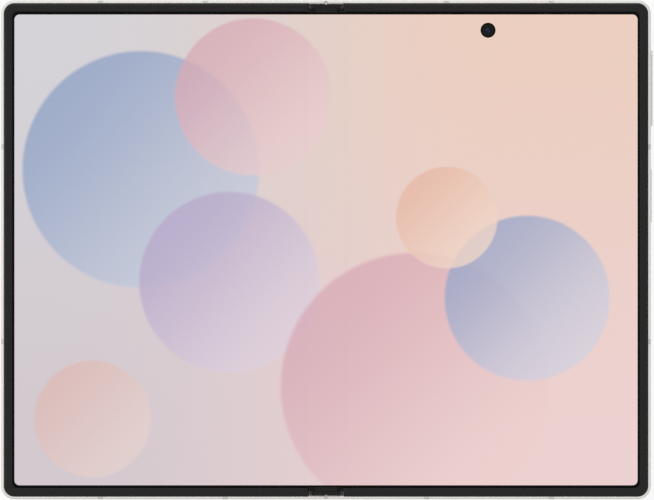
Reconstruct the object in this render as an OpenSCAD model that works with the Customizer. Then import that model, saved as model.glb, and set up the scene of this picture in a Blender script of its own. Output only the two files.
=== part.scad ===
// Book-style foldable smartphone, lying open on its back with the inner screen up.
// X runs across both halves, Y runs along the hinge and Z points out of the screen.
// The origin is under the middle of the open phone, level with the camera plateau.

/* [Body] */
// Width across both halves when open
open_w = 161.4; // [156:0.2:172]
// Height along the hinge
body_h = 123.9; // [122:0.1:130]
// Thickness of one half, bezel included
half_t = 4.9; // [4.8:0.05:5.2]
// Radius of the four outer corners
corner_r = 3.3; // [3.1:0.1:5]
// Gap between the two halves' metal at the hinge line when open
split_gap = 0.1; // [0.06:0.01:0.2]
// Gap between the two bezels when folded
fold_gap = 0.1; // [0.06:0.01:0.3]

/* [Frame] */
// Width of the bright rim seen round the bezel
rim_w = 0.7; // [0.6:0.05:1]
// Depth of the frame wall, from its outer face inwards
band_t = 1.9; // [1.6:0.1:2.1]
// Chamfer on the long edges of the frame
edge_c = 0.3; // [0.1:0.05:0.4]
// How far the rim stays below the bezel's top
rim_drop = 0.3; // [0.2:0.05:0.4]
// Thickness of the mid-plate that carries the display
plate_t = 0.4; // [0.3:0.05:0.5]
// Width of one plastic antenna band
band_w = 1.2; // [0.8:0.1:1.6]
// Distance of the outer antenna bands from the phone's side
ant_far_in = 24.7; // [22:0.1:26]
// Distance of the inner antenna bands on the top edge from the phone's side
ant_top_in = 50.7; // [48:0.1:54]
// Distance of the inner antenna bands on the bottom edge from the phone's side
ant_low_in = 55.7; // [53:0.1:59]
// Distance of the upper antenna bands on the side edges from the top edge
ant_up_in = 36.35; // [35:0.05:38]
// Distance of the lower antenna bands on the side edges from the bottom edge
ant_down_in = 39.15; // [36:0.05:42]

/* [Glass and display] */
// Thickness of the back glasses
glass_t = 0.5; // [0.4:0.05:0.55]
// Thickness of the flexible display
display_t = 0.35; // [0.3:0.05:0.4]
// How far the display lies below the bezel's top
display_drop = 0.4; // [0.35:0.05:0.5]
// Width of the bezel moulding seen from above
bezel_w = 2.1; // [1.9:0.02:2.2]
// Half width of the zone of the display that bends
fold_half = 5; // [4.8:0.1:5.4]
// Thickness of the steel plate under the display
steel_t = 0.3; // [0.2:0.05:0.3]

/* [Hinge] */
// Distance of each fold axis from the hinge line
axis_x = 1.4; // [1.38:0.01:1.45]
// Outer radius of the spine cover about each fold axis
spine_r = 2.9; // [2.8:0.05:2.95]
// Wall of the spine cover
spine_t = 0.35; // [0.25:0.05:0.4]
// Running gap between the spine cover and the halves
spine_gap = 0.1; // [0.05:0.01:0.12]
// Distance of the spine cover's ends from the phone's ends
spine_in = 1.2; // [1.15:0.05:1.9]
// Distance from the phone's ends to where each hinge module starts
module_in = 19.95; // [18:0.05:26]
// Radius of the main hinge pins
pin_r = 0.25; // [0.2:0.01:0.27]
// Running clearance round every pin
pin_gap = 0.02; // [0.015:0.005:0.03]
// Radius of the pins that carry the idler gears
idler_pin_r = 0.3; // [0.25:0.01:0.35]
// Gear module
gear_m = 0.15; // [0.15:0.01:0.15]
// Teeth of a full hinge arm gear, of which a sector is cut
arm_teeth = 8; // [8:1:8]
// Teeth of an idler gear
idler_teeth = 12; // [12:1:12]
// Distance of the wing plates' pivots from the hinge line
wing_x = 6; // [5.8:0.1:6.2]
// Thickness of the wing plates
wing_t = 0.25; // [0.2:0.05:0.3]

/* [Cameras] */
// Height of the rear camera plateau
island_h = 2.4; // [1.6:0.1:3]
// Length of the rear camera plateau
island_l = 46; // [40:0.5:50]
// Width of the rear camera plateau
island_w = 19; // [17:0.5:22]
// Distance between the two rear lenses
lens_pitch = 18; // [16:0.5:20]
// Distance of the plateau's middle from the phone's side
island_side = 30.7; // [29:0.1:36]
// Distance of the plateau's middle from the top edge
island_in = 16.15; // [15.5:0.05:17]
// Radius of a rear lens ring
lens_r = 7; // [6:0.1:7.5]
// Radius of the inner camera's hole in the display
hole_r = 1.81; // [1.5:0.01:2]
// Distance of the inner camera from the phone's side
inner_cam_side = 40.45; // [38:0.05:43]
// Distance of the inner camera from the top edge
inner_cam_in = 7.39; // [7:0.01:7.6]

/* [Keys and openings] */
// Length of the power key
power_l = 13.6; // [10:0.2:15]
// Distance of the power key's middle from the top edge
power_in = 48.45; // [48:0.05:51]
// Length of the volume key
volume_l = 18.8; // [14:0.2:20]
// Distance of the volume key's middle from the top edge
volume_in = 21.75; // [19:0.05:23]
// Width of both keys
key_w = 1.9; // [1.4:0.1:2.2]
// How far the power key stands out of the frame
power_proud = 0.27; // [0.2:0.01:0.4]
// How far the volume key stands out of the frame
volume_proud = 0.5; // [0.3:0.01:0.6]
// Clearance round the keys and the tray
key_gap = 0.1; // [0.05:0.01:0.15]
// Width of the charging port's opening
port_w = 8.34; // [8.3:0.01:8.6]
// Height of the charging port's opening
port_h = 2.56; // [2.5:0.01:2.6]
// Distance of the charging port from the phone's side
port_side = 40.9; // [39:0.1:43]
// Length of the card tray's face
tray_l = 15; // [14:0.2:17]
// Distance of the card tray from the phone's side
tray_side = 40.4; // [38:0.1:43]

/* [Inside] */
// Room between each battery and the phone's side
battery_side = 14.7; // [13:0.1:20]
// Height that the boards and speakers take, above and below each battery
battery_ends = 61.9; // [58:0.1:70]
// Distance of the left battery from the bottom edge
left_cell_in = 28.95; // [24:0.05:31]
// Distance of the right battery from the bottom edge
right_cell_in = 22.95; // [17.5:0.05:25]
// Width of the earpiece's speaker box
ear_w = 16; // [12:0.5:17]
// Width of the bottom speaker's box
speaker_w = 17; // [12:0.5:20]
// Width of the charging port's board
port_board_w = 14; // [12:0.5:14]
// Adhesive gap between bonded layers
glue = 0.05; // [0.03:0.01:0.05]

/* [Hidden] */
$fn = 48;

// Heights, counted up from the lowest face of the camera plateau
back_z = island_h;
top_z = back_z + half_t;
rim_z = top_z - rim_drop;
display_z = top_z - display_drop;
steel_z = display_z - display_t - glue;
plate_z = steel_z - steel_t - glue;
plate_low = plate_z - plate_t;
frame_low = back_z + 0.1;
cell_low = back_z + glass_t + glue;
axis_z = top_z + fold_gap / 2 - axis_x;

half_w = open_w / 2;
half_h = body_h / 2;

// Places measured from the phone's side and ends
ant_far = half_w - ant_far_in;
ant_top = half_w - ant_top_in;
ant_low = half_w - ant_low_in;
spine_l = body_h - 2 * spine_in;
module_y = half_h - module_in;
island_x = half_w - island_side;
island_y = half_h - island_in;
inner_cam_x = half_w - inner_cam_side;
inner_cam_y = half_h - inner_cam_in;
ant_side_up = half_h - ant_up_in;
ant_side_low = half_h - ant_down_in;
power_y = half_h - power_in;
volume_y = half_h - volume_in;
port_x = half_w - port_side;
tray_x = half_w - tray_side;

// Spine cover and what it clears
spine_in_r = spine_r - spine_t;
spine_in_z = axis_z - spine_in_r;
clear_r = spine_r + spine_gap;
spine_top = axis_z - 0.15;
notch_top = axis_z - 1.25;
slab_y = spine_l / 2 + 2 * spine_gap;
end_wall = 0.8;
cap_step = 1;
bezel_x = 4.5;

// Hinge module, measured from its start
ear_t = 1.2;
knuckle_v0 = ear_t + 0.1;
knuckle_l = 3;
gear_v0 = knuckle_v0 + knuckle_l + 0.1;
gear_t = 1.5;
ear2_v0 = gear_v0 + gear_t + 0.1;
spring_v0 = ear2_v0 + ear_t + 0.1;
spring_l = 5.6;
ear3_v0 = spring_v0 + spring_l + 0.1;
module_l = ear3_v0 + 1;
hub_r = pin_r + pin_gap + 0.18;
arm_low = axis_z - 1.13;
arm_top = axis_z - 0.6;
flange_x0 = 6.9;
flange_x1 = 9.7;
flange_v0 = -0.8;
flange_v1 = 6.6;
boss_top = arm_low - 0.02;

// Gear train: arm sector, idler, idler, arm sector
arm_pr = gear_m * arm_teeth / 2;
idler_pr = gear_m * idler_teeth / 2;
idler_x = idler_pr;
idler_z = axis_z - sqrt(pow(arm_pr + idler_pr, 2) - pow(axis_x - idler_x, 2));
mesh_angle = atan2(idler_z - axis_z, idler_x - axis_x) + 360;

// Wing plates
wing_low = axis_z + 0.3;
wing_z = wing_low - 0.23;
wing_pin_r = 0.12;
wing_knuckle_r = 0.26;
wing_knuckle_l = 3;
wing_ear_l = 1.5;
wing_ear_y = wing_knuckle_l / 2 + 0.1 + wing_ear_l / 2;
wing_ys = [for (s = [-1:1]) s * (module_y - 6)];
wing_half_l = spine_l / 2 - end_wall - cap_step - 0.15;

key_z = back_z + 2.3;
tray_z = back_z + 1.95;
tray_face_h = 1.8;
tray_depth = 21;
port_z = back_z + 2.15;
port_depth = 7;

// Batteries and boards
cell_h = 1.85;
cell_x = 14;
cell_strip = 2.2;
battery_w = half_w - cell_x - battery_side;
battery_l = body_h - battery_ends;
left_cell_y = left_cell_in - half_h;
right_cell_y = right_cell_in - half_h;
left_board_y = left_cell_y + battery_l + cell_strip + 2.8;
right_board_y = right_cell_y + battery_l + cell_strip + 1.8;
inside_z = plate_low - glue;

silver = "#d8d8d4";
dark = "#282828";
black = "#0a0a0a";
steel = "#a9a9a6";
copper = "#b87a48";
board_green = "#24483a";

// ---------------------------------------------------------------- helpers

// Puts its children on the right half, or mirrored on the left half
module on_side(side) {
    if (side < 0)
        mirror([1, 0, 0]) children();
    else
        children();
}

// Outline of the right half from x0 outwards, drawn in by inset
module half_outline(x0, inset) {
    r = max(corner_r - inset, 0.4);
    x1 = half_w - inset;
    y1 = half_h - inset;
    translate([x0, -y1]) square([x1 - r - x0, 2 * y1]);
    translate([x0, r - y1]) square([x1 - x0, 2 * (y1 - r)]);
    for (s = [-1, 1])
        translate([x1 - r, s * (y1 - r)]) circle(r);
}

module half_slab(x0, inset, z0, z1) {
    translate([0, 0, z0]) linear_extrude(z1 - z0) half_outline(x0, inset);
}

// Sweeps a profile, drawn inwards from the outer face, round three sides of the right half
module edge_sweep(x0) {
    run_x = half_w - corner_r - x0;
    run_y = 2 * (half_h - corner_r);
    for (s = [0, 1])
        mirror([0, s, 0]) {
            translate([x0, half_h, 0]) rotate([90, 0, 90]) linear_extrude(run_x)
                mirror([1, 0]) children();
            translate([half_w - corner_r, half_h - corner_r, 0]) rotate_extrude(angle = 90)
                translate([corner_r, 0]) mirror([1, 0]) children();
        }
    translate([half_w, run_y / 2, 0]) rotate([90, 0, 0]) linear_extrude(run_y)
        mirror([1, 0]) children();
}

// Extrudes a profile drawn in X and Z along Y, from y0 to y1
module along_y(y0, y1) {
    translate([0, y1, 0]) rotate([90, 0, 0]) linear_extrude(y1 - y0) children();
}

module y_rod(x, z, r, y0, y1) {
    translate([x, y1, z]) rotate([90, 0, 0]) cylinder(h = y1 - y0, r = r);
}

module block(x0, x1, y0, y1, z0, z1) {
    translate([x0, y0, z0]) cube([x1 - x0, y1 - y0, z1 - z0]);
}

// Bar with rounded ends, lying along Y
module pill_y(length, width) {
    for (s = [-1, 1])
        translate([0, s * (length - width) / 2]) circle(width / 2);
    square([width, length - width], center = true);
}

// Puts a hinge module's children at the top, or mirrored at the bottom
module at_module(top) {
    mirror([0, top ? 0 : 1, 0]) translate([0, module_y, 0]) children();
}

module both_modules() {
    for (top = [true, false])
        at_module(top) children();
}

// ---------------------------------------------------------------- gears

// Gear outline with straight flanks; tooth 0 points along angle
module gear_outline(teeth, root_r, pitch_r, tip_r, angles, first, count, angle) {
    step = 360 / teeth;
    points = [for (i = [first:first + count - 1]) for (p = [
        [-angles[0], root_r], [-angles[1], pitch_r], [-angles[2], tip_r],
        [angles[2], tip_r], [angles[1], pitch_r], [angles[0], root_r]
    ])
        [p[1] * cos(angle + i * step + p[0]), p[1] * sin(angle + i * step + p[0])]];
    polygon(count < teeth ? concat(points, [[0, 0]]) : points);
}

idler_root_r = idler_pr - 0.18;
idler_tip_r = idler_pr + 0.12;
arm_root_r = arm_pr - 0.18;
arm_tip_r = arm_pr + 0.12;

// Sector on a right arm, whose teeth face down and towards the middle. A tooth faces the
// idler on the right; the left train is half a tooth further, so that the idlers mesh.
module arm_sector(side) {
    angle = side > 0 ? mesh_angle : mesh_angle - 180 / arm_teeth;
    translate([axis_x, axis_z])
        gear_outline(arm_teeth, arm_root_r, arm_pr, arm_tip_r, [15, 9.2, 3.6], -2, 4, angle);
}

module idler_gear(side) {
    angle = mesh_angle - 180 + (side > 0 ? 180 / idler_teeth : 0);
    on_side(side) difference() {
        union() {
            along_y(gear_v0, gear_v0 + gear_t) translate([idler_x, idler_z])
                gear_outline(idler_teeth, idler_root_r, idler_pr, idler_tip_r,
                    [9.5, 6.2, 2.6], 0, idler_teeth, angle);
            y_rod(idler_x, idler_z, idler_pin_r + pin_gap + 0.15, ear_t + 0.05, gear_v0 + 0.2);
        }
        y_rod(idler_x, idler_z, idler_pin_r + pin_gap, 0, module_l);
    }
}

module idler_top_left() { color(steel) at_module(true) idler_gear(-1); }

module idler_top_right() { color(steel) at_module(true) idler_gear(1); }

module idler_bottom_left() { color(steel) at_module(false) idler_gear(-1); }

module idler_bottom_right() { color(steel) at_module(false) idler_gear(1); }

// ---------------------------------------------------------------- spine

// Space round both fold axes: two discs joined by a flat bottom
module spine_profile(r, top) {
    intersection() {
        union() {
            for (s = [-1, 1])
                translate([s * axis_x, axis_z]) circle(r);
            translate([-axis_x, axis_z - r]) square([2 * axis_x, 2 * r]);
        }
        translate([-10, axis_z - 5]) square([20, top - axis_z + 5]);
    }
}

module spine_cover() {
    color("#8e8d89") difference() {
        along_y(-spine_l / 2, spine_l / 2) spine_profile(spine_r, spine_top);
        along_y(end_wall - spine_l / 2, spine_l / 2 - end_wall)
            spine_profile(spine_in_r, top_z);
        // The end walls are lower than the sides, and the end caps stand on them
        block(-3.75, 3.75, -body_h, body_h, axis_z - 0.95, top_z);
        // Notches for the hinge arms and the flex cable
        both_modules()
            block(-5, 5, knuckle_v0 - 0.3, knuckle_v0 + knuckle_l + 0.3, notch_top, top_z);
        block(-5, 5, -cable_w / 2 - 0.5, cable_w / 2 + 0.5, notch_top, top_z);
        both_modules()
            for (v = screw_vs)
                translate([0, v, spine_in_z - 0.25]) cylinder(h = 1, r = screw_r + 0.02);
    }
}

module spine_end_caps() {
    color(dark) for (s = [0, 1])
        mirror([0, s, 0]) {
            along_y(spine_l / 2 - end_wall, spine_l / 2 + 0.1) intersection() {
                spine_profile(spine_in_r - 0.05, display_z - 0.15);
                translate([-3.4, axis_z - 0.92]) square([6.8, 5]);
            }
            along_y(spine_l / 2 - end_wall - cap_step, spine_l / 2 - end_wall - 0.02)
                intersection() {
                    spine_profile(spine_in_r - 0.02, display_z);
                    translate([-2.75, 0]) square([5.5, 20]);
                }
            // Tie between the two steps, above the end wall
            along_y(spine_l / 2 - end_wall - 0.1, spine_l / 2 - end_wall + 0.1)
                translate([-2.7, axis_z - 0.9]) square([5.4, 1.6]);
            // Flanges that hide the spine cover's edges beside the inner step
            along_y(spine_l / 2 - end_wall - cap_step, spine_l / 2 - end_wall)
                intersection() {
                    spine_profile(spine_r - 0.02, axis_z + 0.1);
                    translate([-5, axis_z - 0.14]) square([10, 0.24]);
                }
        }
}

screw_r = 0.2;
screw_vs = [8.2, 11.8];
base_top = spine_in_z + 0.22;

// Carrier screwed to the spine floor, with three ears for the pins
module hinge_bracket() {
    difference() {
        union() {
            along_y(0, module_l) spine_profile(spine_in_r - 0.02, base_top);
            for (e = [[0, ear_t], [ear2_v0, ear_t], [ear3_v0, 1]])
                along_y(e[0], e[0] + e[1]) {
                    spine_profile(spine_in_r - 0.02, axis_z - 0.7);
                    for (s = [-1, 1])
                        translate([s * axis_x, axis_z]) {
                            circle(hub_r);
                            translate([-hub_r, -1]) square([2 * hub_r, 1]);
                        }
                }
        }
        block(-2.2, 2.2, ear_t, ear2_v0, 0, base_top + 0.01);
        for (s = [-1, 1]) {
            y_rod(s * axis_x, axis_z, pin_r + 0.01, -1, module_l + 1);
            y_rod(s * idler_x, idler_z, idler_pin_r + 0.01, -1, ear2_v0 + 2);
        }
        for (v = screw_vs)
            translate([0, v, spine_in_z - 1]) cylinder(h = 2, r = screw_r + 0.02);
    }
}

module hinge_bracket_top() { color(steel) at_module(true) hinge_bracket(); }

module hinge_bracket_bottom() { color(steel) at_module(false) hinge_bracket(); }

module hinge_pins() {
    color("#c8c8c8") both_modules()
        for (s = [-1, 1])
            y_rod(s * axis_x, axis_z, pin_r, -0.1, module_l + 0.1);
}

module idler_pins() {
    color("#c8c8c8") both_modules()
        for (s = [-1, 1])
            y_rod(s * idler_x, idler_z, idler_pin_r, 0, ear2_v0 + ear_t);
}

// Stack of disc springs on each hinge pin, which gives the hinge its friction
module friction_discs() {
    r0 = pin_r + 0.01;
    pitch = 0.35;
    count = floor(spring_l / pitch);
    half = pitch / 2;
    profile = concat(
        [for (i = [0:count - 1]) for (p = [[0.14, 0], [hub_r - r0, half]])
            [r0 + p[0], i * pitch + p[1]]],
        [[r0 + 0.14, count * pitch], [r0, count * pitch], [r0, 0]]
    );
    color(steel) both_modules()
        for (s = [-1, 1])
            translate([s * axis_x, spring_v0 + count * pitch, axis_z]) rotate([90, 0, 0])
                rotate_extrude() polygon(profile);
}

module screw(head_r, head_h, r, length) {
    difference() {
        union() {
            cylinder(h = head_h, r = head_r);
            translate([0, 0, -length]) cylinder(h = length + 0.01, r = r);
        }
        for (a = [0, 90])
            rotate([0, 0, a]) translate([-head_r * 0.7, -0.06, head_h - 0.12])
                cube([head_r * 1.4, 0.12, 1]);
    }
}

module bracket_screws() {
    color("#3a3a3a") both_modules()
        for (v = screw_vs)
            translate([0, v, base_top]) screw(0.5, 0.3, screw_r, 0.4);
}

module display_fold() {
    color(black) block(-fold_half, fold_half, -fold_len / 2, fold_len / 2,
        display_z - display_t, display_z);
}

fold_len = spine_l - 2 * (end_wall + cap_step + 0.02);
cable_w = 18;
cable_t = 0.1;

// Flat cable from one half to the other, which dips under the wing plates
module hinge_flex_cable() {
    top = [[9.5, arm_low + 0.4], [4.6, arm_low + 0.4], [3.7, arm_low + 0.25],
        [2.6, spine_in_z + 0.5], [1.6, spine_in_z + 0.25], [0, spine_in_z + 0.25]];
    under = [for (p = top) [p[0], p[1] - cable_t]];
    left_top = [for (i = [4:-1:0]) [-top[i][0], top[i][1]]];
    left_under = [for (i = [0:4]) [-under[i][0], under[i][1]]];
    right_under = [for (i = [5:-1:0]) under[i]];
    color("#b5672b") along_y(-cable_w / 2, cable_w / 2)
        polygon(concat(top, left_top, left_under, right_under));
}

// ---------------------------------------------------------------- frames

// Section of the frame wall, inwards from the outer face
module band_profile() {
    polygon([
        [edge_c, frame_low], [0, frame_low + edge_c], [0, rim_z - edge_c], [edge_c, rim_z],
        [rim_w - 0.03, rim_z], [rim_w - 0.03, plate_z], [band_t, plate_z],
        [band_t, cell_low], [rim_w, cell_low], [rim_w, frame_low]
    ]);
}

// Plastic bands: [edge, distance], where the edge is 1 top, -1 bottom, 0 side
ant_places = [[1, ant_far], [1, ant_top], [-1, ant_far], [-1, ant_low],
    [0, ant_side_up], [0, -ant_side_low]];

module antenna_places(width) {
    for (p = ant_places)
        if (p[0] == 0)
            translate([half_w, p[1] + width / 2, 0]) rotate([90, 0, 0])
                linear_extrude(width) mirror([1, 0]) children();
        else
            mirror([0, p[0] < 0 ? 1 : 0, 0])
                translate([p[1] - width / 2, half_h, 0]) rotate([90, 0, 90])
                    linear_extrude(width) mirror([1, 0]) children();
}

module antenna_bands() { antenna_places(band_w) band_profile(); }

rail_x = 5.6;

// Everything that the two frames share, drawn on the right
module frame_common() {
    difference() {
        union() {
            edge_sweep(split_gap / 2) band_profile();
            // Mid-plate under the display, lapped into the wall
            half_slab(wing_x + 0.6, band_t - 0.1, plate_low, plate_z);
            // Rail beside the hinge and the lip under the spine
            block(split_gap / 2, rail_x, -slab_y - 0.5, slab_y + 0.5, frame_low, cell_low);
            block(4, rail_x, -slab_y - 0.5, slab_y + 0.5, frame_low, plate_low - 0.1);
            block(rail_x - 0.4, wing_x + 1.2, -slab_y - 0.5, slab_y + 0.5, plate_low - 0.3,
                plate_low + 0.05);
            both_modules()
                block(rail_x - 0.5, flange_x1 + 0.3, flange_v0 - 0.2, flange_v1 + 0.2,
                    cell_low, boss_top);
            // Ears of the wing plates' pivots
            for (y = wing_ys, s = [-1, 1])
                along_y(y + s * wing_ear_y - wing_ear_l / 2, y + s * wing_ear_y + wing_ear_l / 2)
                    polygon([
                        [wing_x - 0.3, plate_low - 0.2], [wing_x - 0.3, wing_low - 0.14],
                        [wing_x, wing_low - 0.04], [wing_x + 0.65, wing_low - 0.04],
                        [wing_x + 0.65, plate_low - 0.2]
                    ]);
        }
        // Room for the spine cover
        along_y(-slab_y, slab_y) {
            for (s = [-1, 1])
                translate([s * axis_x, axis_z]) circle(clear_r);
            translate([-axis_x, axis_z - clear_r]) square([2 * axis_x, 10]);
        }
        // Round ends, so that the two halves roll past each other
        difference() {
            block(-1, axis_x, -body_h, body_h, axis_z, top_z + 1);
            along_y(-body_h, body_h) translate([axis_x, axis_z])
                circle(axis_x - split_gap / 2);
        }
        // The ledge at the hinge is lower than the rim
        for (s = [-1, 1])
            translate([-1, s > 0 ? half_h - band_t - 1 : 0.6 - half_h, plate_z])
                cube([1 + bezel_x, band_t + 0.4, 5]);
        // Notches for the arms and the cable, and pockets for the wings' knuckles
        both_modules()
            block(3, 12, knuckle_v0 - 0.2, knuckle_v0 + knuckle_l + 0.2, arm_low - 0.1,
                plate_low + 0.001);
        both_modules()
            block(rail_x, flange_x1 + 0.4, flange_v0 - 0.2, flange_v1 + 0.2, boss_top,
                plate_low + 0.001);
        block(3, 12, -cable_w / 2 - 0.5, cable_w / 2 + 0.5, arm_low - 0.1, plate_low + 0.001);
        for (y = wing_ys) {
            block(wing_x - 0.45, wing_x + 0.45, y - wing_knuckle_l / 2 - 0.1,
                y + wing_knuckle_l / 2 + 0.1, wing_z - 0.4, top_z);
            y_rod(wing_x, wing_z, wing_pin_r + 0.01, y - 3, y + 3);
        }
        // The mid-plate keeps clear of the wings
        block(wing_x - 0.5, wing_x + 0.45, -body_h, body_h, wing_low - 0.02, top_z);
        both_modules() at_arm_screws()
            translate([0, 0, boss_top - 1.2]) cylinder(h = 5, r = arm_screw_r + 0.02);
        antenna_places(band_w + 0.02) translate([-1, 0]) square([band_t + 1.001, 20]);
    }
}

module speaker_holes(x, edge, count) {
    for (i = [0:count - 1])
        translate([x + (i - (count - 1) / 2) * 2.2, edge * half_h, back_z + 2.2])
            rotate([90, 0, 0]) cylinder(h = 5, r = 0.6, center = true);
}

module left_frame() {
    color(silver) mirror([1, 0, 0]) difference() {
        frame_common();
        // Card tray slot, earpiece and microphone holes, camera seat
        block(tray_x - tray_l / 2 - key_gap, tray_x + tray_l / 2 + key_gap, -half_h - 1,
            band_t + 0.5 - half_h, tray_z - tray_face_h / 2 - key_gap,
            tray_z + tray_face_h / 2 + key_gap);
        speaker_holes(ant_far - 6, 1, 5);
        speaker_holes(ant_low - 5, -1, 1);
    }
}

module left_antenna_bands() { color("#c9c9c5") mirror([1, 0, 0]) antenna_bands(); }

// Cut-out for a side key and its flange, with room for the flange to move outwards
module key_cut(y, length, room) {
    translate([half_w - band_t - 1, y, key_z]) rotate([0, 90, 0]) linear_extrude(5)
        pill_y(length + 2 * key_gap, key_w + 2 * key_gap);
    block(half_w - band_t - 1, key_in + room, y - length / 2 - 0.7, y + length / 2 + 0.7,
        key_z - key_w / 2 - 0.45, key_z + key_w / 2 + 0.35);
}

module right_frame() {
    color(silver) difference() {
        frame_common();
        key_cut(power_y, power_l, 0.05);
        key_cut(volume_y, volume_l, 0.28);
        // Charging port, speaker and microphone holes
        translate([port_x, 0, port_z]) rotate([90, 0, 0]) linear_extrude(body_h)
            port_outline(port_w + 0.6, port_h + 0.6);
        speaker_holes(port_x + 10.4, -1, 4);
        speaker_holes(ant_low - 7, -1, 1);
        // The inner camera passes the mid-plate
        translate([inner_cam_x, inner_cam_y, plate_low - 1]) cylinder(h = 5, r = hole_r + 0.9);
    }
}

module right_antenna_bands() { color("#c9c9c5") antenna_bands(); }

// Bezel moulding: long eased outer edge, foot on the frame's ledge
module bezel_profile() {
    ease_w = 0.6;
    ease_h = 0.3;
    foot_w = 1;
    low = display_z + 0.02;
    polygon(concat(
        [for (a = [0:15:90])
            [rim_w + ease_w * (1 - cos(a)), top_z - ease_h * (1 - sin(a))]],
        [[rim_w + bezel_w, top_z], [rim_w + bezel_w, low], [rim_w + foot_w, low],
            [rim_w + foot_w, plate_z + glue], [rim_w, plate_z + glue]]
    ));
}

module left_bezel() { color(dark) mirror([1, 0, 0]) edge_sweep(bezel_x) bezel_profile(); }

module right_bezel() { color(dark) edge_sweep(bezel_x) bezel_profile(); }

display_inset = 2;

module half_display() {
    low = display_z - display_t;
    half_slab(wing_x + 0.5, display_inset, low, display_z);
    block(fold_half + 0.01, wing_x + 0.6, -fold_len / 2, fold_len / 2, low, display_z);
}

module left_display() { color(black) mirror([1, 0, 0]) half_display(); }

module right_display() {
    color(black) difference() {
        half_display();
        translate([inner_cam_x, inner_cam_y, 0]) cylinder(h = 20, r = hole_r);
    }
}

module half_backplate() {
    half_slab(wing_x + 0.7, display_inset + 0.2, plate_z + glue, plate_z + glue + steel_t);
}

module left_backplate() { color("#6f6f6d") mirror([1, 0, 0]) half_backplate(); }

module right_backplate() {
    color("#6f6f6d") difference() {
        half_backplate();
        translate([inner_cam_x, inner_cam_y, 0]) cylinder(h = 20, r = hole_r + 0.9);
    }
}

module half_glass() { half_slab(rail_x + 0.1, rim_w + 0.05, back_z, back_z + glass_t); }

module cover_glass() { color("#15161a") mirror([1, 0, 0]) half_glass(); }

cover_cam_x = half_w - 37.7;
cover_cam_y = half_h - 6.45;
cover_display_t = 0.6;

module cover_display() {
    color(black) mirror([1, 0, 0]) difference() {
        half_slab(rail_x + 1.4 + 3, band_t + 0.3, cell_low, cell_low + cover_display_t);
        translate([cover_cam_x, cover_cam_y, 0]) cylinder(h = 20, r = 2.5);
        both_modules()
            block(0, flange_x1 + 0.6, flange_v0 - 0.5, flange_v1 + 0.5, 0, 20);
        block(tray_x - tray_l / 2 - 0.7, tray_x + tray_l / 2 + 0.7, -half_h - 1,
            band_t + 0.6 - half_h, 0, 20);
    }
}

// ---------------------------------------------------------------- left inside

module battery(y0) {
    z0 = inside_z - cell_h;
    block(cell_x, cell_x + battery_w, y0, y0 + battery_l, z0, inside_z);
    // Folded seam and protection strip along the top edge
    block(cell_x + 2, cell_x + battery_w - 2, y0 + battery_l - 0.01,
        y0 + battery_l + cell_strip, z0 + 0.3, inside_z - 0.4);
}

module left_battery() { color("#3b3c40") mirror([1, 0, 0]) battery(left_cell_y); }

module left_board() {
    z0 = inside_z - 1;
    x1 = half_w - 5.7;
    y1 = half_h - 15.95;
    chip_w = 10;
    color(board_green) mirror([1, 0, 0]) difference() {
        union() {
            block(cell_x - 1, x1, left_board_y, y1, z0, inside_z);
            block(cell_x - 1, cover_cam_x - 7, y1 - 0.01, half_h - 4.95, z0, inside_z);
            for (x = [cell_x + 6, x1 - chip_w - 5])
                block(x, x + chip_w, left_board_y + 2, y1 - 2, z0 - 0.8, z0 + 0.01);
        }
        for (p = [[cell_x + 1, half_h - 6.95], [x1 - 2, y1 - 6]])
            translate(p) cylinder(h = top_z, r = 0.8);
    }
}

module cover_camera() {
    color("#1d1f1e") mirror([1, 0, 0]) translate([cover_cam_x, cover_cam_y, cell_low])
        difference() {
            union() {
                cylinder(h = inside_z - cell_low, r = 2.2);
                translate([-2.6, -2.6, 1.3]) cube([5.2, 5.2, 1.2]);
            }
            translate([0, 0, -0.1]) cylinder(h = 0.5, r1 = 1.6, r2 = 0.9);
        }
}

module earpiece_speaker() {
    x0 = cover_cam_x + 3.5;
    color("#2c2c2e") mirror([1, 0, 0]) {
        block(x0, x0 + ear_w, half_h - 11.95, half_h - band_t - 0.1, inside_z - 1.7, inside_z);
        translate([x0 + ear_w / 2, half_h - 7.45, inside_z - 1.9]) cylinder(h = 0.21, r = 3);
    }
}

// Open cage that the card tray slides into
module card_reader() {
    y0 = band_t + 0.6 - half_h;
    y1 = y0 + tray_depth - 1;
    x0 = tray_x - tray_l / 2 - 0.3;
    x1 = tray_x + tray_l / 2 + 0.3;
    z0 = cell_low + cover_display_t + 0.05;
    slot_w = 3.2;
    color(steel) mirror([1, 0, 0]) difference() {
        block(x0, x1, y0, y1, z0, inside_z);
        block(x0 + 0.2, x1 - 0.2, y0 - 1, y1 - 0.3, z0 + 0.15, inside_z - 0.15);
        for (x = [tray_x - 3.5, tray_x + 3.5])
            block(x - slot_w / 2, x + slot_w / 2, y0 + 6, y1 - 4, inside_z - 1, inside_z + 1);
    }
}

tray_low = tray_z - tray_face_h / 2;

module card_tray() {
    x0 = tray_x - tray_l / 2;
    y0 = -half_h;
    color(silver) mirror([1, 0, 0]) difference() {
        union() {
            block(x0, x0 + tray_l, y0, y0 + band_t - 0.1, tray_low, tray_low + tray_face_h);
            block(x0 + 0.6, x0 + tray_l - 0.6, y0 + band_t - 0.2, y0 + tray_depth,
                tray_z - 0.45, tray_z + 0.45);
        }
        // Card seat with its cut corner, and the eject hole
        block(x0 + 1.6, x0 + tray_l - 1.6, y0 + 5, y0 + tray_depth - 2.4, tray_z - 0.2,
            tray_z + 1);
        block(x0 + 2.4, x0 + tray_l - 2.4, y0 + 6, y0 + tray_depth - 3.4, tray_z - 1,
            tray_z + 1);
        translate([x0 + tray_l - 1.8, y0 - 1, tray_z]) rotate([-90, 0, 0])
            cylinder(h = band_t + 0.8, r = 0.4);
    }
}

// ---------------------------------------------------------------- arms and wings

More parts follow.
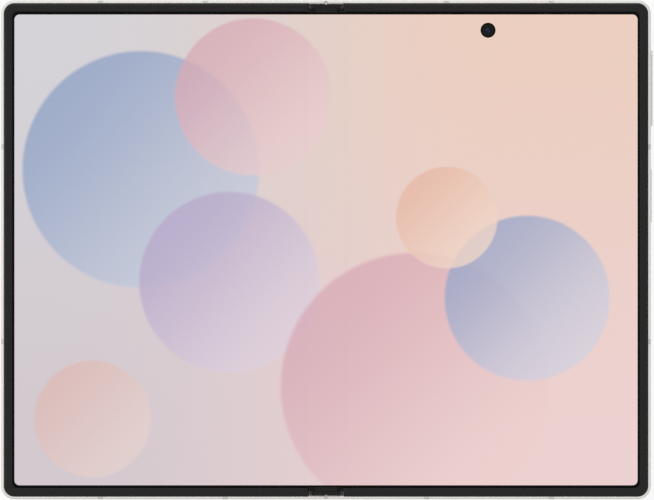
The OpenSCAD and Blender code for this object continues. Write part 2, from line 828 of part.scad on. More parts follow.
// Goose-neck arm: knuckle on the hinge pin, gear sector, neck and screwed flange
module hinge_arm(side) {
    difference() {
        union() {
            y_rod(axis_x, axis_z, hub_r, knuckle_v0, knuckle_v0 + knuckle_l);
            y_rod(axis_x, axis_z, arm_root_r, knuckle_v0, gear_v0 + gear_t);
            along_y(gear_v0, gear_v0 + gear_t) arm_sector(side);
            along_y(knuckle_v0, knuckle_v0 + knuckle_l) polygon([
                [axis_x - 0.35, axis_z - 0.2], [axis_x + 0.15, arm_low],
                [flange_x0 + 0.1, arm_low], [flange_x0 + 0.1, arm_top],
                [axis_x + 0.75, arm_top], [axis_x + 0.4, axis_z - 0.15]
            ]);
            block(flange_x0, flange_x1, flange_v0, flange_v1, arm_low, arm_top);
        }
        y_rod(axis_x, axis_z, pin_r + pin_gap, -2, module_l);
        at_arm_screws() translate([0, 0, arm_low - 1]) cylinder(h = 3, r = arm_screw_r + 0.02);
    }
}

arm_screw_r = 0.25;

// Puts its children at both screws of one arm's flange
module at_arm_screws() {
    for (v = [flange_v0 + 1.1, flange_v1 - 1.1])
        translate([(flange_x0 + flange_x1) / 2, v, 0]) children();
}

module half_arms(side) { on_side(side) both_modules() hinge_arm(side); }

module left_hinge_arms() { color(steel) half_arms(-1); }

module right_hinge_arms() { color(steel) half_arms(1); }

module arm_screws() {
    both_modules() at_arm_screws()
        translate([0, 0, arm_top + 0.01]) screw(0.6, 0.3, arm_screw_r, 1.2);
}

module left_arm_screws() { color("#3a3a3a") mirror([1, 0, 0]) arm_screws(); }

module right_arm_screws() { color("#3a3a3a") arm_screws(); }

module wing() {
    notch_x = 4.6;
    difference() {
        union() {
            block(0.15, wing_x + 0.15, -wing_half_l, wing_half_l, wing_low, wing_low + wing_t);
            for (y = wing_ys)
                along_y(y - wing_knuckle_l / 2, y + wing_knuckle_l / 2) {
                    translate([wing_x, wing_z]) circle(wing_knuckle_r);
                    translate([wing_x - 0.13, wing_z]) square([0.26, wing_low - wing_z + 0.05]);
                }
        }
        for (y = wing_ys)
            y_rod(wing_x, wing_z, wing_pin_r + pin_gap, y - 3, y + 3);
        both_modules() block(-1, notch_x, -0.4, module_l + 0.4, 0, top_z);
    }
}

module left_wing() { color("#7c7c79") mirror([1, 0, 0]) wing(); }

module right_wing() { color("#7c7c79") wing(); }

module wing_pins() {
    for (y = wing_ys)
        y_rod(wing_x, wing_z, wing_pin_r, y - 2.9, y + 2.9);
}

module left_wing_pins() { color("#c8c8c8") mirror([1, 0, 0]) wing_pins(); }

module right_wing_pins() { color("#c8c8c8") wing_pins(); }

// ---------------------------------------------------------------- right inside

module island_outline(inset) {
    r = island_w / 2 - inset;
    for (s = [-1, 1])
        translate([island_x + s * (island_l - island_w) / 2, island_y]) circle(r);
    translate([island_x, island_y]) square([island_l - island_w, 2 * r], center = true);
}

lens_xs = [for (s = [-1, 1]) island_x - 3.5 + s * lens_pitch / 2];
flash_x = island_x + island_l / 2 - 5.8;

module rear_glass() {
    color("#e6e6e8") difference() {
        half_glass();
        translate([0, 0, -1]) linear_extrude(10) island_outline(-0.05);
    }
}

// Plateau that carries the rear cameras; its shoulder is bonded inside the glass
module camera_island() {
    color("#d9d9dc") difference() {
        union() {
            translate([0, 0, 0.5]) linear_extrude(back_z + glass_t - 0.5) island_outline(0);
            translate([0, 0, 0.25]) linear_extrude(0.3) island_outline(0.25);
        }
        for (x = lens_xs)
            translate([x, island_y, -1]) cylinder(h = 20, r = lens_r - 0.8);
        translate([flash_x, island_y, -1]) cylinder(h = 20, r = 2.2);
    }
}

module camera_rings() {
    color("#b9b9bc") for (x = lens_xs)
        translate([x, island_y, 0]) difference() {
            union() {
                cylinder(h = 0.25, r = lens_r);
                cylinder(h = 1.6, r = lens_r - 0.85);
            }
            translate([0, 0, -1]) cylinder(h = 20, r = lens_r - 1.3);
        }
}

module camera_lenses() {
    color("#101216") for (x = lens_xs)
        translate([x, island_y, 0.15]) cylinder(h = 0.6, r = lens_r - 1.33);
}

module rear_camera_modules() {
    color("#1c1c1e") for (x = lens_xs)
        translate([x, island_y, 0.8]) difference() {
            union() {
                cylinder(h = 4, r = lens_r - 1.4);
                translate([-5.4, -5.4, 2.2]) cube([10.8, 10.8, inside_z - 3]);
            }
            translate([0, 0, -0.1]) cylinder(h = 1.2, r1 = 3.4, r2 = 1.8);
        }
}

module flash_lamp() {
    color("#f2ead0") translate([flash_x, island_y, 0.3]) {
        cylinder(h = 1.2, r = 2.15);
        translate([-1.5, -1.5, 1.19]) cube([3, 3, 1.6]);
    }
}

module right_battery() { color("#3b3c40") battery(right_cell_y); }

board_t = 0.8;
board_z = inside_z - board_t;

module main_board() {
    x1 = half_w - 3.7;
    color(board_green) difference() {
        union() {
            block(cell_x - 2, x1, right_board_y, half_h - band_t - 1.2, board_z, inside_z);
            // Leg beside the battery, down towards the charging port
            block(x1 - 8, x1 - 1.8, right_cell_y + 9, right_board_y + 0.1, board_z, inside_z);
        }
        for (x = lens_xs)
            block(x - 5.7, x + 5.7, island_y - 5.9, island_y + 5.9, 0, top_z);
        translate([flash_x, island_y, 0]) cylinder(h = top_z, r = 2.6);
        translate([inner_cam_x, inner_cam_y, 0]) cylinder(h = top_z, r = 3.4);
        for (p = [[cell_x, half_h - 4.95], [x1 - 2, right_board_y + 2.5],
            [cell_x, right_board_y + 2]])
            translate(p) cylinder(h = top_z, r = 0.8);
    }
}

// Drawn sheet lids over the chips: corners of each in X and Y
module shield_cans() {
    z1 = board_z - 0.01;
    wall = 0.15;
    low_y = right_board_y + 2.5;
    mid_y = island_y - 6.3;
    lens_x = lens_xs[0] - 6.5;
    lids = [[[cell_x, low_y + 1.5], [lens_x, half_h - 6.5]],
        [[lens_x + 5, low_y], [half_w - 18.7, mid_y]],
        [[half_w - 16.7, low_y - 0.5], [half_w - 7.7, mid_y - 0.5]]];
    color("#bdbdbb") for (b = lids)
        difference() {
            block(b[0].x, b[1].x, b[0].y, b[1].y, z1 - 1, z1);
            block(b[0].x + wall, b[1].x - wall, b[0].y + wall, b[1].y - wall,
                z1 - 1 + wall, z1 + 1);
        }
}

module port_outline(width, height) {
    for (s = [-1, 1])
        translate([s * (width - height) / 2, 0]) circle(height / 2);
    square([width - height, height], center = true);
}

module usb_c_port() {
    y0 = -half_h + 0.15;
    color("#b5b5b3") translate([port_x, y0 + port_depth, port_z]) rotate([90, 0, 0]) {
        difference() {
            linear_extrude(port_depth) port_outline(port_w + 0.5, port_h + 0.5);
            translate([0, 0, 0.6]) linear_extrude(port_depth) port_outline(port_w, port_h);
        }
        translate([-3.3, -0.35, 0.5]) cube([6.6, 0.7, port_depth - 1.4]);
    }
    color("#b5b5b3") block(port_x - port_board_w / 2, port_x + port_board_w / 2,
        y0 + port_depth - 0.01, y0 + port_depth + 3, port_z + 0.4, port_z + 1);
}

module bottom_speaker() {
    x0 = port_x + port_board_w / 2 + 0.2;
    y0 = band_t + 0.1 - half_h;
    color("#2c2c2e") {
        block(x0, x0 + speaker_w, y0, y0 + 13, inside_z - 1.9, inside_z);
        translate([x0 + speaker_w / 2, y0 + 7.5, inside_z - 2.1]) cylinder(h = 0.21, r = 4);
    }
}

module haptic_motor() {
    x0 = cell_x + 0.5;
    x1 = port_x - port_board_w / 2 - 1.3;
    y0 = 4.45 - half_h;
    color("#9c9c9a") {
        block(x0 + 1.5, x1 - 1.5, y0, y0 + 7.5, inside_z - 1.9, inside_z);
        block(x0, x1, y0 + 2.5, y0 + 5, inside_z - 0.5, inside_z);
    }
}

// Ferrite sheet with a ring of copper turns under the middle of the right battery
module charging_coil() {
    sheet_t = 0.12;
    coil_r = min(battery_w, battery_l) / 2 - 5;
    turns = 5;
    pitch = (coil_r - 9) / (turns + 0.5);
    color(copper)
        translate([cell_x + battery_w / 2, right_cell_y + battery_l / 2, cell_low + glue]) {
            difference() {
                cylinder(h = sheet_t, r = coil_r);
                translate([0, 0, -1]) cylinder(h = 3, r = coil_r - (turns + 0.5) * pitch);
            }
            for (i = [0:turns - 1])
                difference() {
                    translate([0, 0, sheet_t - 0.01])
                        cylinder(h = 0.16, r = coil_r - 0.6 - i * pitch);
                    cylinder(h = 1, r = coil_r - 2 - i * pitch);
                }
        }
}

module inner_camera() {
    z0 = plate_low - 1.2;
    color("#1d1f1e") translate([inner_cam_x, inner_cam_y, 0]) {
        difference() {
            union() {
                translate([0, 0, z0]) cylinder(h = display_z - 0.1 - z0, r = hole_r - 0.1);
                translate([0, 0, z0]) cylinder(h = 1.1, r = hole_r + 0.8);
            }
            translate([0, 0, display_z - 0.3]) cylinder(h = 1, r1 = 0.8, r2 = 1.3);
        }
        translate([0, 0, display_z - 0.45]) cylinder(h = 0.25, r = 0.75);
    }
}

flange_t = 0.5;
key_in = half_w - 0.95;

module side_key(y, length, proud) {
    translate([key_in, y, key_z]) rotate([0, 90, 0]) {
        linear_extrude(0.95 + proud - 0.15) pill_y(length, key_w);
        translate([0, 0, 0.7 + proud]) linear_extrude(0.25) pill_y(length - 0.3, key_w - 0.3);
    }
    block(key_in - flange_t, key_in + 0.01, y - length / 2 - 0.5, y + length / 2 + 0.5,
        key_z - key_w / 2 - 0.25, key_z + key_w / 2 + 0.25);
}

module power_key() { color(silver) side_key(power_y, power_l, power_proud); }

// The volume key rocks about a pivot across its flange
module volume_key() {
    color(silver) {
        side_key(volume_y, volume_l, volume_proud);
        translate([key_in, volume_y, key_z - key_w / 2 - 0.4])
            cylinder(h = key_w + 0.7, r = 0.25);
    }
}

// Dome switches behind the keys on a strip along the wall
module side_key_switches() {
    x1 = half_w - band_t - 0.05;
    color("#c98a3a") {
        block(x1 - 1.2, x1 - 1, power_y - 5, volume_y + 9, key_z - 1, key_z + 0.9);
        for (y = [power_y, volume_y - 6, volume_y + 6])
            translate([x1 - 1.05, y, key_z]) rotate([0, 90, 0]) {
                cylinder(h = 0.6, r = 0.9);
                cylinder(h = 1, r = 0.4);
            }
    }
}

spine_cover();
spine_end_caps();
hinge_bracket_top();
hinge_bracket_bottom();
hinge_pins();
idler_pins();
friction_discs();
bracket_screws();
display_fold();
hinge_flex_cable();
left_frame();
left_antenna_bands();
left_bezel();
left_backplate();
left_display();
cover_glass();
cover_display();
left_battery();
left_board();
cover_camera();
earpiece_speaker();
card_reader();
left_hinge_arms();
left_arm_screws();
left_wing_pins();
right_frame();
right_antenna_bands();
right_bezel();
right_backplate();
right_display();
rear_glass();
camera_island();
camera_rings();
camera_lenses();
rear_camera_modules();
flash_lamp();
right_battery();
main_board();
shield_cans();
usb_c_port();
bottom_speaker();
haptic_motor();
charging_coil();
inner_camera();
side_key_switches();
right_hinge_arms();
right_arm_screws();
right_wing_pins();
left_wing();
right_wing();
idler_top_left();
idler_top_right();
idler_bottom_left();
idler_bottom_right();
power_key();
volume_key();
card_tray();
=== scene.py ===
"""A foldable smartphone lying open on a pale floor, seen straight on from above its inner screen."""
import math

import bmesh
import bpy
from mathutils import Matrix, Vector


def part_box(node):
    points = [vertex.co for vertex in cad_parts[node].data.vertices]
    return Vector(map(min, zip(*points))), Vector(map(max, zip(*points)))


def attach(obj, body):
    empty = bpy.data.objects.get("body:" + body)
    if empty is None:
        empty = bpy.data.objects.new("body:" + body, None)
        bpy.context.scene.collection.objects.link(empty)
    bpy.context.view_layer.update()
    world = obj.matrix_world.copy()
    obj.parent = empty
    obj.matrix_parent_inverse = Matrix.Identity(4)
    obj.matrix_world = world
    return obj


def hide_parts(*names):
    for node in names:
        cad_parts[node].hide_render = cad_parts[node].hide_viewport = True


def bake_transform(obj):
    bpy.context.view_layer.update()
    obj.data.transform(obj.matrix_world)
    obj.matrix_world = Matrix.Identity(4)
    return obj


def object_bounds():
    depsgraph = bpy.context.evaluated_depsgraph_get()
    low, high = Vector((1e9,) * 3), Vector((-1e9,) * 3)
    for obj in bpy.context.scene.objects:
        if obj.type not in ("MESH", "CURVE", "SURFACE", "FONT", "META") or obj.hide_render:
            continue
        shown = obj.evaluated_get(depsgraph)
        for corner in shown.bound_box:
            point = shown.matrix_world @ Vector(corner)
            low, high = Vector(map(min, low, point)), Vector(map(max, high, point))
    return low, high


MM = 0.001

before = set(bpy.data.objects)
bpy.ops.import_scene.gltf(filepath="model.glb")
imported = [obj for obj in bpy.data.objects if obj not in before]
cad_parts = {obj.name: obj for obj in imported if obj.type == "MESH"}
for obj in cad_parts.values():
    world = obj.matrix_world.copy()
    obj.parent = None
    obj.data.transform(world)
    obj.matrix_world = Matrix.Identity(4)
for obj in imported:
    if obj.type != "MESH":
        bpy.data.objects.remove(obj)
low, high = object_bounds()

# ------------------------------------------------------------------ places, all taken from the frame

FOLD_LOW, FOLD_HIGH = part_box("display_fold")
CAMERA_LOW, CAMERA_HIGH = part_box("inner_camera")
BEZEL_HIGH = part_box("right_bezel")[1]
LENS_LOW, LENS_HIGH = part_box("camera_lenses")
LAMP_LOW, LAMP_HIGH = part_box("flash_lamp")
CABLE_LOW, CABLE_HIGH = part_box("hinge_flex_cable")
PORT_LOW, PORT_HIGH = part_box("usb_c_port")
FRAME_LOW, FRAME_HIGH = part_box("right_frame")
COVER_CAM_LOW, COVER_CAM_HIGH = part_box("cover_camera")
COVER_GLASS_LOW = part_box("cover_glass")[0]

# The lit part of the screen ends inside the bezel, with a black border between them
BEZEL_WIDTH = 2.1 * MM
ACTIVE_X = BEZEL_HIGH.x - 2.62 * MM
ACTIVE_Y = BEZEL_HIGH.y - 2.79 * MM
ACTIVE_CORNER = 1.25 * MM
# The light fades out between these two distances in mm from the middle of the camera's hole
HOLE_DARK, HOLE_LIT = 1.84, 1.9
# Beyond this distance from the middle, along the hinge, the spine's ends carry painted shade in dark
# grey
PAINTED_SHADE_FROM = 59.9 * MM


def middle(corners):
    """Middle of a box given as its two corners."""
    return (corners[0] + corners[1]) / 2


# ------------------------------------------------------------------ materials

# The setting of a Mix node that blends two colours
COLOURS = {"data_type": "RGBA"}


def linear(code):
    """A colour written as sRGB hex, as the linear values that shaders take."""
    parts = [int(code[i : i + 2], 16) / 255 for i in (1, 3, 5)]
    return tuple(p / 12.92 if p <= 0.04045 else ((p + 0.055) / 1.055) ** 2.4 for p in parts) + (1.0,)


def add_node(tree, kind, settings=None, **inputs):
    """Adds a node with its settings; inputs go by name, or by number as i0, i1 and so on."""
    node = tree.nodes.new("ShaderNode" + kind)
    for key, value in (settings or {}).items():
        setattr(node, key, value)
    for key, value in inputs.items():
        numbered = key[0] == "i" and key[1:].isdigit()
        socket = node.inputs[int(key[1:])] if numbered else node.inputs[key.replace("_", " ")]
        if isinstance(value, bpy.types.NodeSocket):
            tree.links.new(value, socket)
        else:
            socket.default_value = value
    return node


def blank(name):
    """A new material without nodes, and its tree."""
    material = bpy.data.materials.new(name)
    material.use_nodes = True
    tree = material.node_tree
    tree.nodes.clear()
    return material, tree


def end_in_shader(tree, **inputs):
    """Ends a material in a Principled shader, whose inputs are constants or other nodes' outputs."""
    shader = add_node(tree, "BsdfPrincipled", None, **inputs)
    add_node(tree, "OutputMaterial", None, Surface=shader.outputs["BSDF"])


def surface(name, base, other, metallic, roughness, spread, grain, depth, edge=0.05,
            stretch=(1, 1, 1), specular=0.5, coat=0.0):
    """A worked surface: two close colours in broad clouds, uneven gloss, fine relief, eased edges.

    grain is the size in mm of the finest marks, depth their relief in mm, edge the radius in mm
    of the eased edges, and stretch below 1 draws the marks out along an axis.
    """
    material, tree = blank(name)
    place = add_node(tree, "TexCoord").outputs["Object"]
    drawn = add_node(tree, "Mapping", None, Vector=place, Scale=stretch).outputs[0]
    cloud = add_node(tree, "TexNoise", None, Vector=drawn, Scale=1 / (9 * MM), Detail=3.0).outputs[0]
    fine = add_node(tree, "TexNoise", None, Vector=drawn, Scale=1 / (grain * MM), Detail=3.0).outputs[0]
    tint = add_node(tree, "Mix", COLOURS, i0=cloud, i6=linear(base), i7=linear(other))
    gloss = add_node(tree, "MapRange", None, Value=fine, To_Min=max(roughness - spread, 0.02),
                     To_Max=min(roughness + spread, 1.0))
    eased = add_node(tree, "Bevel", {"samples": 4}, Radius=edge * MM)
    bump = add_node(tree, "Bump", None, Height=fine, Strength=0.35, Distance=depth * MM,
                    Normal=eased.outputs[0])
    end_in_shader(tree, Base_Color=tint.outputs[2], Roughness=gloss.outputs[0], Normal=bump.outputs[0],
                  Metallic=metallic, Specular_IOR_Level=specular, Coat_Weight=coat)
    return material


def screen_picture(tree, flat):
    """Pastel backdrop with a few large overlapping soft discs; flat is the place in mm."""
    parts = add_node(tree, "SeparateXYZ", None, Vector=flat)
    smooth = {"interpolation_type": "SMOOTHSTEP"}
    across = add_node(tree, "MapRange", smooth, Value=parts.outputs[0], From_Min=-70.0, From_Max=45.0)
    up = add_node(tree, "MapRange", smooth, Value=parts.outputs[1], From_Min=-60.0, From_Max=60.0)
    lower = add_node(tree, "Mix", COLOURS, i0=across.outputs[0], i6=linear("#D5CBD1"),
                     i7=linear("#EFD3D3"))
    upper = add_node(tree, "Mix", COLOURS, i0=across.outputs[0], i6=linear("#D7D5DA"),
                     i7=linear("#EED1C2"))
    picture = add_node(tree, "Mix", COLOURS, i0=up.outputs[0], i6=lower.outputs[2], i7=upper.outputs[2])
    # Each disc's middle, radius and soft edge in mm, its deep and pale colours, and its weight
    discs = [
        ((-46, 20), 30, 1.2, "#8FA3C8", "#C6CDDE", 0.80),
        ((-18, 38), 20, 1.0, "#D9A9B5", "#EBCFD0", 0.75),
        ((-24, -8), 23, 1.2, "#B9A9CC", "#E0D2DF", 0.80),
        ((22, -34), 34, 1.5, "#D8A6B4", "#EFD2D0", 0.70),
        ((50, -12), 21, 1.0, "#97A7CB", "#D6D3E0", 0.80),
        ((30, 8), 13, 0.8, "#E9B9A4", "#F3DACB", 0.75),
        ((-58, -42), 15, 1.0, "#E3B7AE", "#EBD5D0", 0.60),
    ]
    for (x, y), radius, soft, deep, pale, weight in discs:
        away = add_node(tree, "VectorMath", {"operation": "DISTANCE"}, i0=flat, i1=(x, y, 0))
        inside = add_node(tree, "MapRange", smooth, Value=away.outputs["Value"], From_Min=radius - soft,
                          From_Max=radius, To_Min=weight, To_Max=0.0)
        slope = add_node(tree, "VectorMath", {"operation": "DOT_PRODUCT"}, i0=flat, i1=(0.5, -0.5, 0))
        start_at = 0.5 * (x - y) - 0.75 * radius
        shade = add_node(tree, "MapRange", smooth, Value=slope.outputs["Value"], From_Min=start_at,
                         From_Max=start_at + 1.5 * radius)
        fill = add_node(tree, "Mix", COLOURS, i0=shade.outputs[0], i6=linear(deep), i7=linear(pale))
        picture = add_node(tree, "Mix", COLOURS, i0=inside.outputs[0], i6=picture.outputs[2],
                           i7=fill.outputs[2])
    return picture.outputs[2]


def lit_area(tree, flat):
    """1 where the screen lights up: a rounded rectangle less the camera's round hole."""
    corner = ACTIVE_CORNER / MM
    reach = (ACTIVE_X / MM - corner, ACTIVE_Y / MM - corner, 0)
    folded = add_node(tree, "VectorMath", {"operation": "ABSOLUTE"}, i0=flat)
    past = add_node(tree, "VectorMath", {"operation": "SUBTRACT"}, i0=folded.outputs[0], i1=reach)
    out = add_node(tree, "VectorMath", {"operation": "MAXIMUM"}, i0=past.outputs[0], i1=(0, 0, 0))
    length = add_node(tree, "VectorMath", {"operation": "LENGTH"}, i0=out.outputs[0])
    inside = add_node(tree, "Math", {"operation": "LESS_THAN"}, i0=length.outputs["Value"], i1=corner)
    hole = middle((CAMERA_LOW, CAMERA_HIGH)) / MM
    away = add_node(tree, "VectorMath", {"operation": "DISTANCE"}, i0=flat, i1=(hole.x, hole.y, 0))
    clear = add_node(tree, "MapRange", None, Value=away.outputs["Value"], From_Min=HOLE_DARK,
                     From_Max=HOLE_LIT)
    return add_node(tree, "Math", {"operation": "MULTIPLY"}, i0=inside.outputs[0],
                    i1=clear.outputs[0]).outputs[0]


def screen_material(name, attribute=None):
    """Laminated plastic film over a self-lit panel: the light comes from within, and the top
    film adds a faint sheen that is uneven where fingers have been."""
    panel_light = 0.97
    material, tree = blank(name)
    if attribute:
        place = add_node(tree, "Attribute", {"attribute_name": attribute}).outputs["Vector"]
    else:
        place = add_node(tree, "TexCoord").outputs["Object"]
    scaled = add_node(tree, "VectorMath", {"operation": "MULTIPLY"}, i0=place, i1=(1 / MM, 1 / MM, 0))
    flat = scaled.outputs[0]
    smudge = add_node(tree, "TexNoise", None, Vector=place, Scale=1 / (14 * MM), Detail=3.0)
    gloss = add_node(tree, "MapRange", None, Value=smudge.outputs[0], To_Min=0.12, To_Max=0.22)
    glow = add_node(tree, "Math", {"operation": "MULTIPLY"}, i0=lit_area(tree, flat),
                    i1=panel_light)
    end_in_shader(tree, Base_Color=linear("#050505"), Roughness=gloss.outputs[0],
                  Specular_IOR_Level=0.05, Emission_Color=screen_picture(tree, flat),
                  Emission_Strength=glow.outputs[0])
    return material


def spine_material(name):
    """Extruded aluminium, brushed along the hinge and anodised: a long soft sheen with fine lines;
    its two ends, under the caps, are painted dark grey and dull as painted shade."""
    material, tree = blank(name)
    place = add_node(tree, "TexCoord").outputs["Object"]
    drawn = add_node(tree, "Mapping", None, Vector=place, Scale=(1, 0.04, 1)).outputs[0]
    lines = add_node(tree, "TexNoise", None, Vector=drawn, Scale=1 / (0.08 * MM), Detail=3.0).outputs[0]
    metal = add_node(tree, "Mix", COLOURS, i0=lines, i6=linear("#B9B8B4"),
                     i7=linear("#C6C5C1"))
    parts = add_node(tree, "SeparateXYZ", None, Vector=place)
    along = add_node(tree, "Math", {"operation": "ABSOLUTE"}, i0=parts.outputs[1])
    # Painted shade: past this distance the ends turn dark grey and dull, and lose their metal
    painted_end_shade = add_node(tree, "MapRange", None, Value=along.outputs[0], From_Min=PAINTED_SHADE_FROM,
                      From_Max=PAINTED_SHADE_FROM + 0.05 * MM)
    tint = add_node(tree, "Mix", COLOURS, i0=painted_end_shade.outputs[0], i6=metal.outputs[2],
                    i7=linear("#3A3A38"))
    shine = add_node(tree, "MapRange", None, Value=painted_end_shade.outputs[0], To_Min=0.9, To_Max=0.0)
    gloss = add_node(tree, "MapRange", None, Value=lines, To_Min=0.26, To_Max=0.4)
    bump = add_node(tree, "Bump", None, Height=lines, Strength=0.35, Distance=0.002 * MM)
    end_in_shader(tree, Base_Color=tint.outputs[2], Metallic=shine.outputs[0],
                  Roughness=gloss.outputs[0], Normal=bump.outputs[0])
    return material


def coated_lens(name):
    """Polished glass with an anti-reflection coating: nearly black, and what it mirrors is violet."""
    material, tree = blank(name)
    place = add_node(tree, "TexCoord").outputs["Object"]
    haze = add_node(tree, "TexNoise", None, Vector=place, Scale=1 / (2 * MM), Detail=2.0).outputs[0]
    tint = add_node(tree, "Mix", COLOURS, i0=haze, i6=linear("#0A0A14"),
                    i7=linear("#0E0D1E"))
    gloss = add_node(tree, "MapRange", None, Value=haze, To_Min=0.03, To_Max=0.07)
    end_in_shader(tree, Base_Color=tint.outputs[2], Roughness=gloss.outputs[0],
                  Specular_IOR_Level=0.5, Specular_Tint=linear("#A79CFF"))
    return material


def printed_board(name):
    """Solder-masked fibre board: green varnish, lighter over the copper tracks, and golden pads."""
    material, tree = blank(name)
    place = add_node(tree, "TexCoord").outputs["Object"]
    # Tracks about 0.15 mm wide, 0.8 mm apart, in short runs
    tracks = add_node(tree, "TexBrick", {"offset": 0.5}, Vector=place, Scale=1 / MM, Mortar_Size=0.07,
                      Brick_Width=3.1, Row_Height=0.8, Color1=linear("#17402F"),
                      Color2=linear("#1C4A36"), Mortar=linear("#2F6B4C"))
    # Pads about 2.4 mm apart
    pads = add_node(tree, "TexVoronoi", {"feature": "DISTANCE_TO_EDGE"}, Vector=place,
                    Scale=1 / (2.4 * MM))
    spot = add_node(tree, "MapRange", None, Value=pads.outputs[0], From_Min=0.42, From_Max=0.46)
    tint = add_node(tree, "Mix", COLOURS, i0=spot.outputs[0], i6=tracks.outputs[0],
                    i7=linear("#B8A25C"))
    bump = add_node(tree, "Bump", None, Height=tracks.outputs[1], Strength=0.3, Distance=0.02 * MM)
    end_in_shader(tree, Base_Color=tint.outputs[2], Roughness=0.36, Normal=bump.outputs[0])
    return material


def gauze_material(name):
    """Woven steel gauze: bright wires about 0.15 mm apart over dark gaps."""
    material, tree = blank(name)
    place = add_node(tree, "TexCoord").outputs["Object"]
    weave = add_node(tree, "TexBrick", {"offset": 0.0}, Vector=place, Scale=1 / MM, Mortar_Size=0.04,
                     Brick_Width=0.15, Row_Height=0.15, Color1=linear("#101011"),
                     Color2=linear("#161617"), Mortar=linear("#6B6B6C"))
    bump = add_node(tree, "Bump", None, Height=weave.outputs[1], Strength=0.5, Distance=0.03 * MM)
    end_in_shader(tree, Base_Color=weave.outputs[0], Metallic=0.6, Roughness=0.45,
                  Normal=bump.outputs[0])
    return material


def clear_glass(name):
    """Polished glass coated against reflection, so that its index acts far lower than bare glass
    does: nearly colourless, and what lies behind it shows dark and clear."""
    material, tree = blank(name)
    place = add_node(tree, "TexCoord").outputs["Object"]
    haze = add_node(tree, "TexNoise", None, Vector=place, Scale=1 / (3 * MM), Detail=2.0)
    gloss = add_node(tree, "MapRange", None, Value=haze.outputs[0], To_Min=0.0, To_Max=0.01)
    end_in_shader(tree, Base_Color=linear("#F4F8F8"), Roughness=gloss.outputs[0],
                  Transmission_Weight=1.0, IOR=1.2)
    return material


